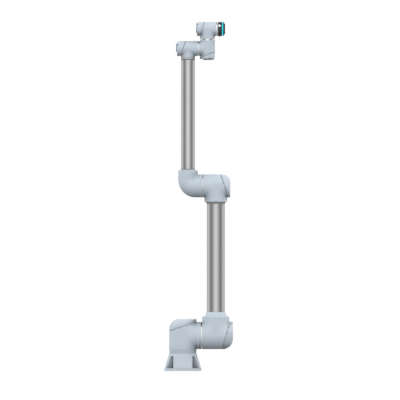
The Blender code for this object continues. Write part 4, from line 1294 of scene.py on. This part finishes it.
def forearm_bend(x, outer):
    """Pipe bend from the elbow to the forearm tube, with the band in its seam and the lip of its socket."""
    z = ELBOW.face.z
    radius = ELBOW.radius
    socket = outer + TOUCH_GAP
    left, end = span("forearm_bend", RIGHT)
    top = span("forearm_bend", UP)[1] - BEND_LIP_HEIGHT
    depth = top - span("forearm_tube", UP)[0] + TOUCH_GAP
    seat = seat_radius(ELBOW)
    level = pointing(RIGHT, (x, 0, z))
    openings = [
        Opening(Vector((x, 0, top)), UP, upright(x, z), socket, depth, BEND_CHAMFER, CHAMFER_TURNS),
        Opening(Vector((end - BEND_BAND, 0, z)), RIGHT, level, seat, SEAT_CLEARANCE),
    ]
    sizes = (x, z, x - left, radius)
    solids = [(upright(x, z), x - left, BEND_RADIUS, top - z + GRID_MARGIN),
              (level, radius, BEND_RADIUS, end - x + GRID_MARGIN), *bend_solids(*sizes)]
    cast("forearm_bend_casting", "forearm_bend", "forearm", "body_paint", solids, bend_field(*sizes),
         openings, MEDIUM_GRID)
    low = end - BEND_BAND + BAND_GAP
    length = ELBOW.face.x - rim_top(ELBOW) - TOUCH_GAP - low
    turned("forearm_bend_band", sleeve(seat, radius, 0, length), pointing(RIGHT, (low, 0, z)), "forearm",
           "body_paint", edge=RING_EDGE)
    lip = sleeve(socket, outer + CONE_LIP, TOUCH_GAP, BEND_LIP_HEIGHT)
    turned("forearm_bend_lip", lip, upright(x, top), "forearm", "body_paint")


def forearm_collar(x, outer):
    """Coupling ring under the wrist, on a dark seal at the end of the forearm tube."""
    node = "forearm_collar"
    place = upright(x, 0)
    low, high = span(node, UP)
    ring_low = span("forearm_tube", UP)[1] + TOUCH_GAP
    ring_high = span("wrist_1_housing", UP)[0] - TOUCH_GAP
    neck = radius_near(node, place, high)
    spigot = radius_near(node, place, low)
    hole = inner_and_outer(node)[0]
    seal = ring_low + SEAL_HEIGHT
    groove = outer - SEAL_DEPTH
    profile = [(neck, high), (neck, ring_high), (outer, ring_high), (outer, seal), (groove, seal),
               (groove, ring_low), (spigot, ring_low), (spigot, low), (hole, low), (hole, high)]
    turned("forearm_coupling", profile, place, "forearm", "coupling_metal", node)
    profile = sleeve(groove + TOUCH_GAP, outer - SEAL_INSET, ring_low, seal - TOUCH_GAP)
    turned("forearm_seal", profile, place, "forearm", "seal_rubber")


def forearm():
    x = middle_x("forearm_tube")
    outer = inner_and_outer("forearm_tube")[1]
    forearm_bend(x, outer)
    bare_tube("forearm_tube_skin", "forearm_tube", "forearm", "tube_metal")
    forearm_collar(x, outer)


def seat_branch(module, place, length):
    """Branch that ends in the seat of a module's output flange."""
    return Branch(place, module.radius - BRANCH_INSET, length, seat_radius(module), seat_depth(module))


def wrists():
    x = middle_x("forearm_tube")
    z = WRIST_1.face.z
    outer = inner_and_outer("forearm_tube")[1]
    low = span("wrist_1_housing", UP)[0]
    top = span("forearm_collar", UP)[1]
    neck = radius_near("forearm_collar", upright(x, 0), top)
    stub = Branch(pointing(-UP, (x, 0, z)), outer, z - low, neck + TOUCH_GAP, top - low + TOUCH_GAP)
    housing("wrist_1_casting", "wrist_1_housing", WRIST_1, stub, CRISP_JOIN, SMALL_GRID)
    x = WRIST_2.face.x
    stub = seat_branch(WRIST_1, pointing(-RIGHT, (x, 0, z)), x - span("wrist_2_housing", RIGHT)[0])
    housing("wrist_2_casting", "wrist_2_housing", WRIST_2, stub, SOFT_JOIN, SMALL_GRID)
    z = WRIST_3.face.z
    stub = seat_branch(WRIST_2, pointing(-UP, (x, 0, z)), z - span("wrist_3_housing", UP)[0])
    housing("wrist_3_casting", "wrist_3_housing", WRIST_3, stub, SOFT_JOIN, SMALL_GRID)


# Tool end


def tool_span(node):
    """Lowest and highest place of a tool's node above the last module's output face."""
    return [place - WRIST_3.face.x for place in span(node, RIGHT)]


def side_node(node):
    """Place on the tool's axis that points at a node on the head's side, its reach along it, its radius."""
    low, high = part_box(node)
    middle = (low + high) / 2
    origin = Vector((middle.x, 0, WRIST_3.face.z))
    place = pointing(middle - origin, origin)
    radii, heights = radii_and_heights(node, place)
    return place, float(heights.min()), float(heights.max()), float(radii.max())


def tool_head():
    radius = WRIST_3.radius
    low, high = tool_span("tool_head")
    seat = seat_radius(WRIST_3)
    floor = low + seat_depth(WRIST_3)
    flange_low = tool_span("tool_flange")[0]
    spigot = radius_near("tool_flange", WRIST_3.place, flange_low) + TOUCH_GAP
    step = flange_low - TOUCH_GAP
    band = low + HEAD_BAND
    turned("tool_band", sleeve(seat, radius, low, band - BAND_GAP), WRIST_3.place, "tool", "body_paint",
           edge=RING_EDGE)
    profile = [(radius, high), (radius, band), (seat, band), (seat, floor), (HEAD_HOLE, floor),
               (HEAD_HOLE, step), (spigot, step), (spigot, high)]
    head = turned("tool_head_shell", profile, WRIST_3.place, "tool", "black_plastic", "tool_head")
    cuts = bmesh.new()
    for node, clearance, travel in (("teach_button", BUTTON_CLEARANCE, BUTTON_TRAVEL),
                                    ("tool_connector", TOUCH_GAP, 0.0)):
        place, bottom, _, width = side_node(node)
        hole_into(cuts, place, width + clearance, bottom - travel - TOUCH_GAP, radius + GRID_MARGIN)
    carve(head, cutter(cuts), "black_plastic")


def tool_light():
    profile = sleeve(*inner_and_outer("tool_light_ring", WRIST_3.place), *tool_span("tool_light_ring"))
    turned("tool_light", profile, WRIST_3.place, "tool", "light_ring", "tool_light_ring")


def tool_flange():
    """Tool plate with a pilot recess, four tapped holes and a locating hole."""
    back, face = tool_span("tool_flange")
    low = tool_span("tool_light_ring")[1] + TOUCH_GAP
    boss = face - PLATE_BOSS
    spigot = radius_near("tool_flange", WRIST_3.place, back)
    outer = WRIST_3.radius
    profile = [(0, face - PILOT_DEPTH), (PILOT_RADIUS, face - PILOT_DEPTH), (PILOT_RADIUS, face),
               (PLATE_RADIUS, face), (PLATE_RADIUS, boss), (outer, boss), (outer, low), (spigot, low),
               (spigot, back), (0, back)]
    plate = turned("tool_plate", profile, WRIST_3.place, "tool", "tool_plate", "tool_flange", closed=False)
    top = face + GRID_MARGIN
    floor = face - BOLT_DEPTH
    section = [(0, top), (BOLT_HOLE + GRID_MARGIN + HOLE_CHAMFER, top), (BOLT_HOLE, face - HOLE_CHAMFER),
               (BOLT_HOLE, floor), (0, floor)]
    cuts = bmesh.new()
    for angle in map(math.radians, PLATE_HOLES):
        place = WRIST_3.place @ Matrix.Translation(polar(BOLT_CIRCLE, angle))
        turn_into(cuts, section, place, sides=SMALL_SIDES, closed=False, edge=0.0)
    carve(plate, cutter(cuts), "tool_plate")


def teach_button():
    place, low, high, radius = side_node("teach_button")
    rim = high - BUTTON_DISH
    profile = [(0, high), (radius * BUTTON_DISH_SHARE, rim), (radius, rim), (radius, low), (0, low)]
    turned("teach_button_cap", profile, place, "teach_button", "white_plastic", "teach_button", closed=False,
           sides=BORE_SIDES)


def tool_connector():
    """Small round connector with a threaded collar round its pins."""
    place, low, high, radius = side_node("tool_connector")
    floor = high - CONNECTOR_RECESS
    inner = radius - CONNECTOR_WALL
    collar = threaded(radius, WRIST_3.radius + TOUCH_GAP, high, THREAD_PITCH, THREAD_DEPTH)
    profile = [(0, floor), (inner, floor), (inner, high), *collar, (radius, low), (0, low)]
    turned("tool_connector_shell", profile, place, "tool", "black_plastic", "tool_connector", closed=False,
           sides=SMALL_SIDES, edge=THREAD_DEPTH / 2)
    pins("tool_connector_pins", "tool", place, inner * CONNECTOR_PIN_CIRCLE, CONNECTOR_PINS, CONNECTOR_PIN,
         floor - TOUCH_GAP, high - TOUCH_GAP)


def dress_drives():
    """Give the sealed drives, which keep their solids, their own finishes."""
    for module in MODULES:
        for piece, finish in DRIVE_FINISHES.items():
            node = frame["nodes"][module.name + "_" + piece]
            node.data.materials.clear()
            node.data.materials.append(FINISHES[finish])


def build():
    foot()
    cable_socket()
    for module in MODULES:
        output_ring(module)
        end_cap(module)
    shoulder()
    upper_arm()
    elbow()
    forearm()
    wrists()
    tool_head()
    tool_light()
    tool_flange()
    teach_button()
    tool_connector()
    dress_drives()


# Stage


def add_floor():
    """Pale matt floor, which takes the shadow and lights nothing."""
    bm = bmesh.new()
    bmesh.ops.create_circle(bm, cap_ends=True, segments=ROUND_SIDES, radius=FLOOR_RADIUS)
    floor = add_object("floor", bm)
    material, nodes = new_material("floor")
    nodes.paint(nodes.mixed(nodes.noise(nodes.place(), FLOOR_CLOUDS), *FLOOR_TONES))
    nodes.put(nodes.shader, "Roughness", FLOOR_ROUGHNESS)
    nodes.put(nodes.shader, "Specular IOR Level", FLOOR_SPECULAR)
    floor.data.materials.append(material)
    floor.visible_diffuse = False
    floor.visible_glossy = False


def add_world():
    """White backdrop for the camera, soft light for matt surfaces, bright and dark fields for gloss."""
    world = bpy.data.worlds.new("studio")
    bpy.context.scene.world = world
    world.use_nodes = True
    world.node_tree.nodes.clear()
    nodes = Nodes(world.node_tree)
    split = nodes.add("SeparateXYZ", {0: nodes.add("TexCoord").outputs["Generated"]})
    front = nodes.math("MULTIPLY", split.outputs["Y"], -1.0)
    height = split.outputs["Z"]
    # A little over one keeps the level share above zero straight up and down
    level = nodes.math("SQRT", nodes.math("SUBTRACT", OVER_ONE, nodes.math("MULTIPLY", height, height)))
    facing = nodes.math("DIVIDE", front, level)
    sides = nodes.ramp(nodes.share(facing, -1, 1), SIDE_FIELDS)
    above = nodes.ramp(nodes.share(front, -1, 1), ABOVE_FIELDS)
    gloss = nodes.mixed(nodes.share(height, *ABOVE_START), sides, above)
    gloss = nodes.mixed(nodes.share(height, *BELOW_START), gloss, BELOW_LEVEL)
    soft = nodes.ramp(nodes.share(height, -1, 1), SKY_FIELDS, "LINEAR")
    sky = nodes.math("MULTIPLY", soft, SKY_LEVEL)
    path = nodes.add("LightPath").outputs
    shiny = nodes.math("MAXIMUM", path["Is Glossy Ray"], path["Is Transmission Ray"])
    seen = nodes.mixed(path["Is Camera Ray"], nodes.mixed(shiny, sky, gloss), WHITE)
    background = nodes.add("Background", {"Color": seen})
    nodes.add("OutputWorld", {"Surface": background.outputs[0]})


def add_camera():
    data = bpy.data.cameras.new("camera")
    data.type = "ORTHO"
    data.ortho_scale = VIEW_WIDTH
    camera = bpy.data.objects.new("camera", data)
    camera.location = (VIEW_MIDDLE[0], -CAMERA_DISTANCE, VIEW_MIDDLE[1])
    camera.rotation_euler = (QUARTER, 0, 0)
    bpy.context.scene.collection.objects.link(camera)
    bpy.context.scene.camera = camera


build()
add_floor()
add_world()
add_camera()
bpy.context.scene.view_settings.view_transform = "Standard"
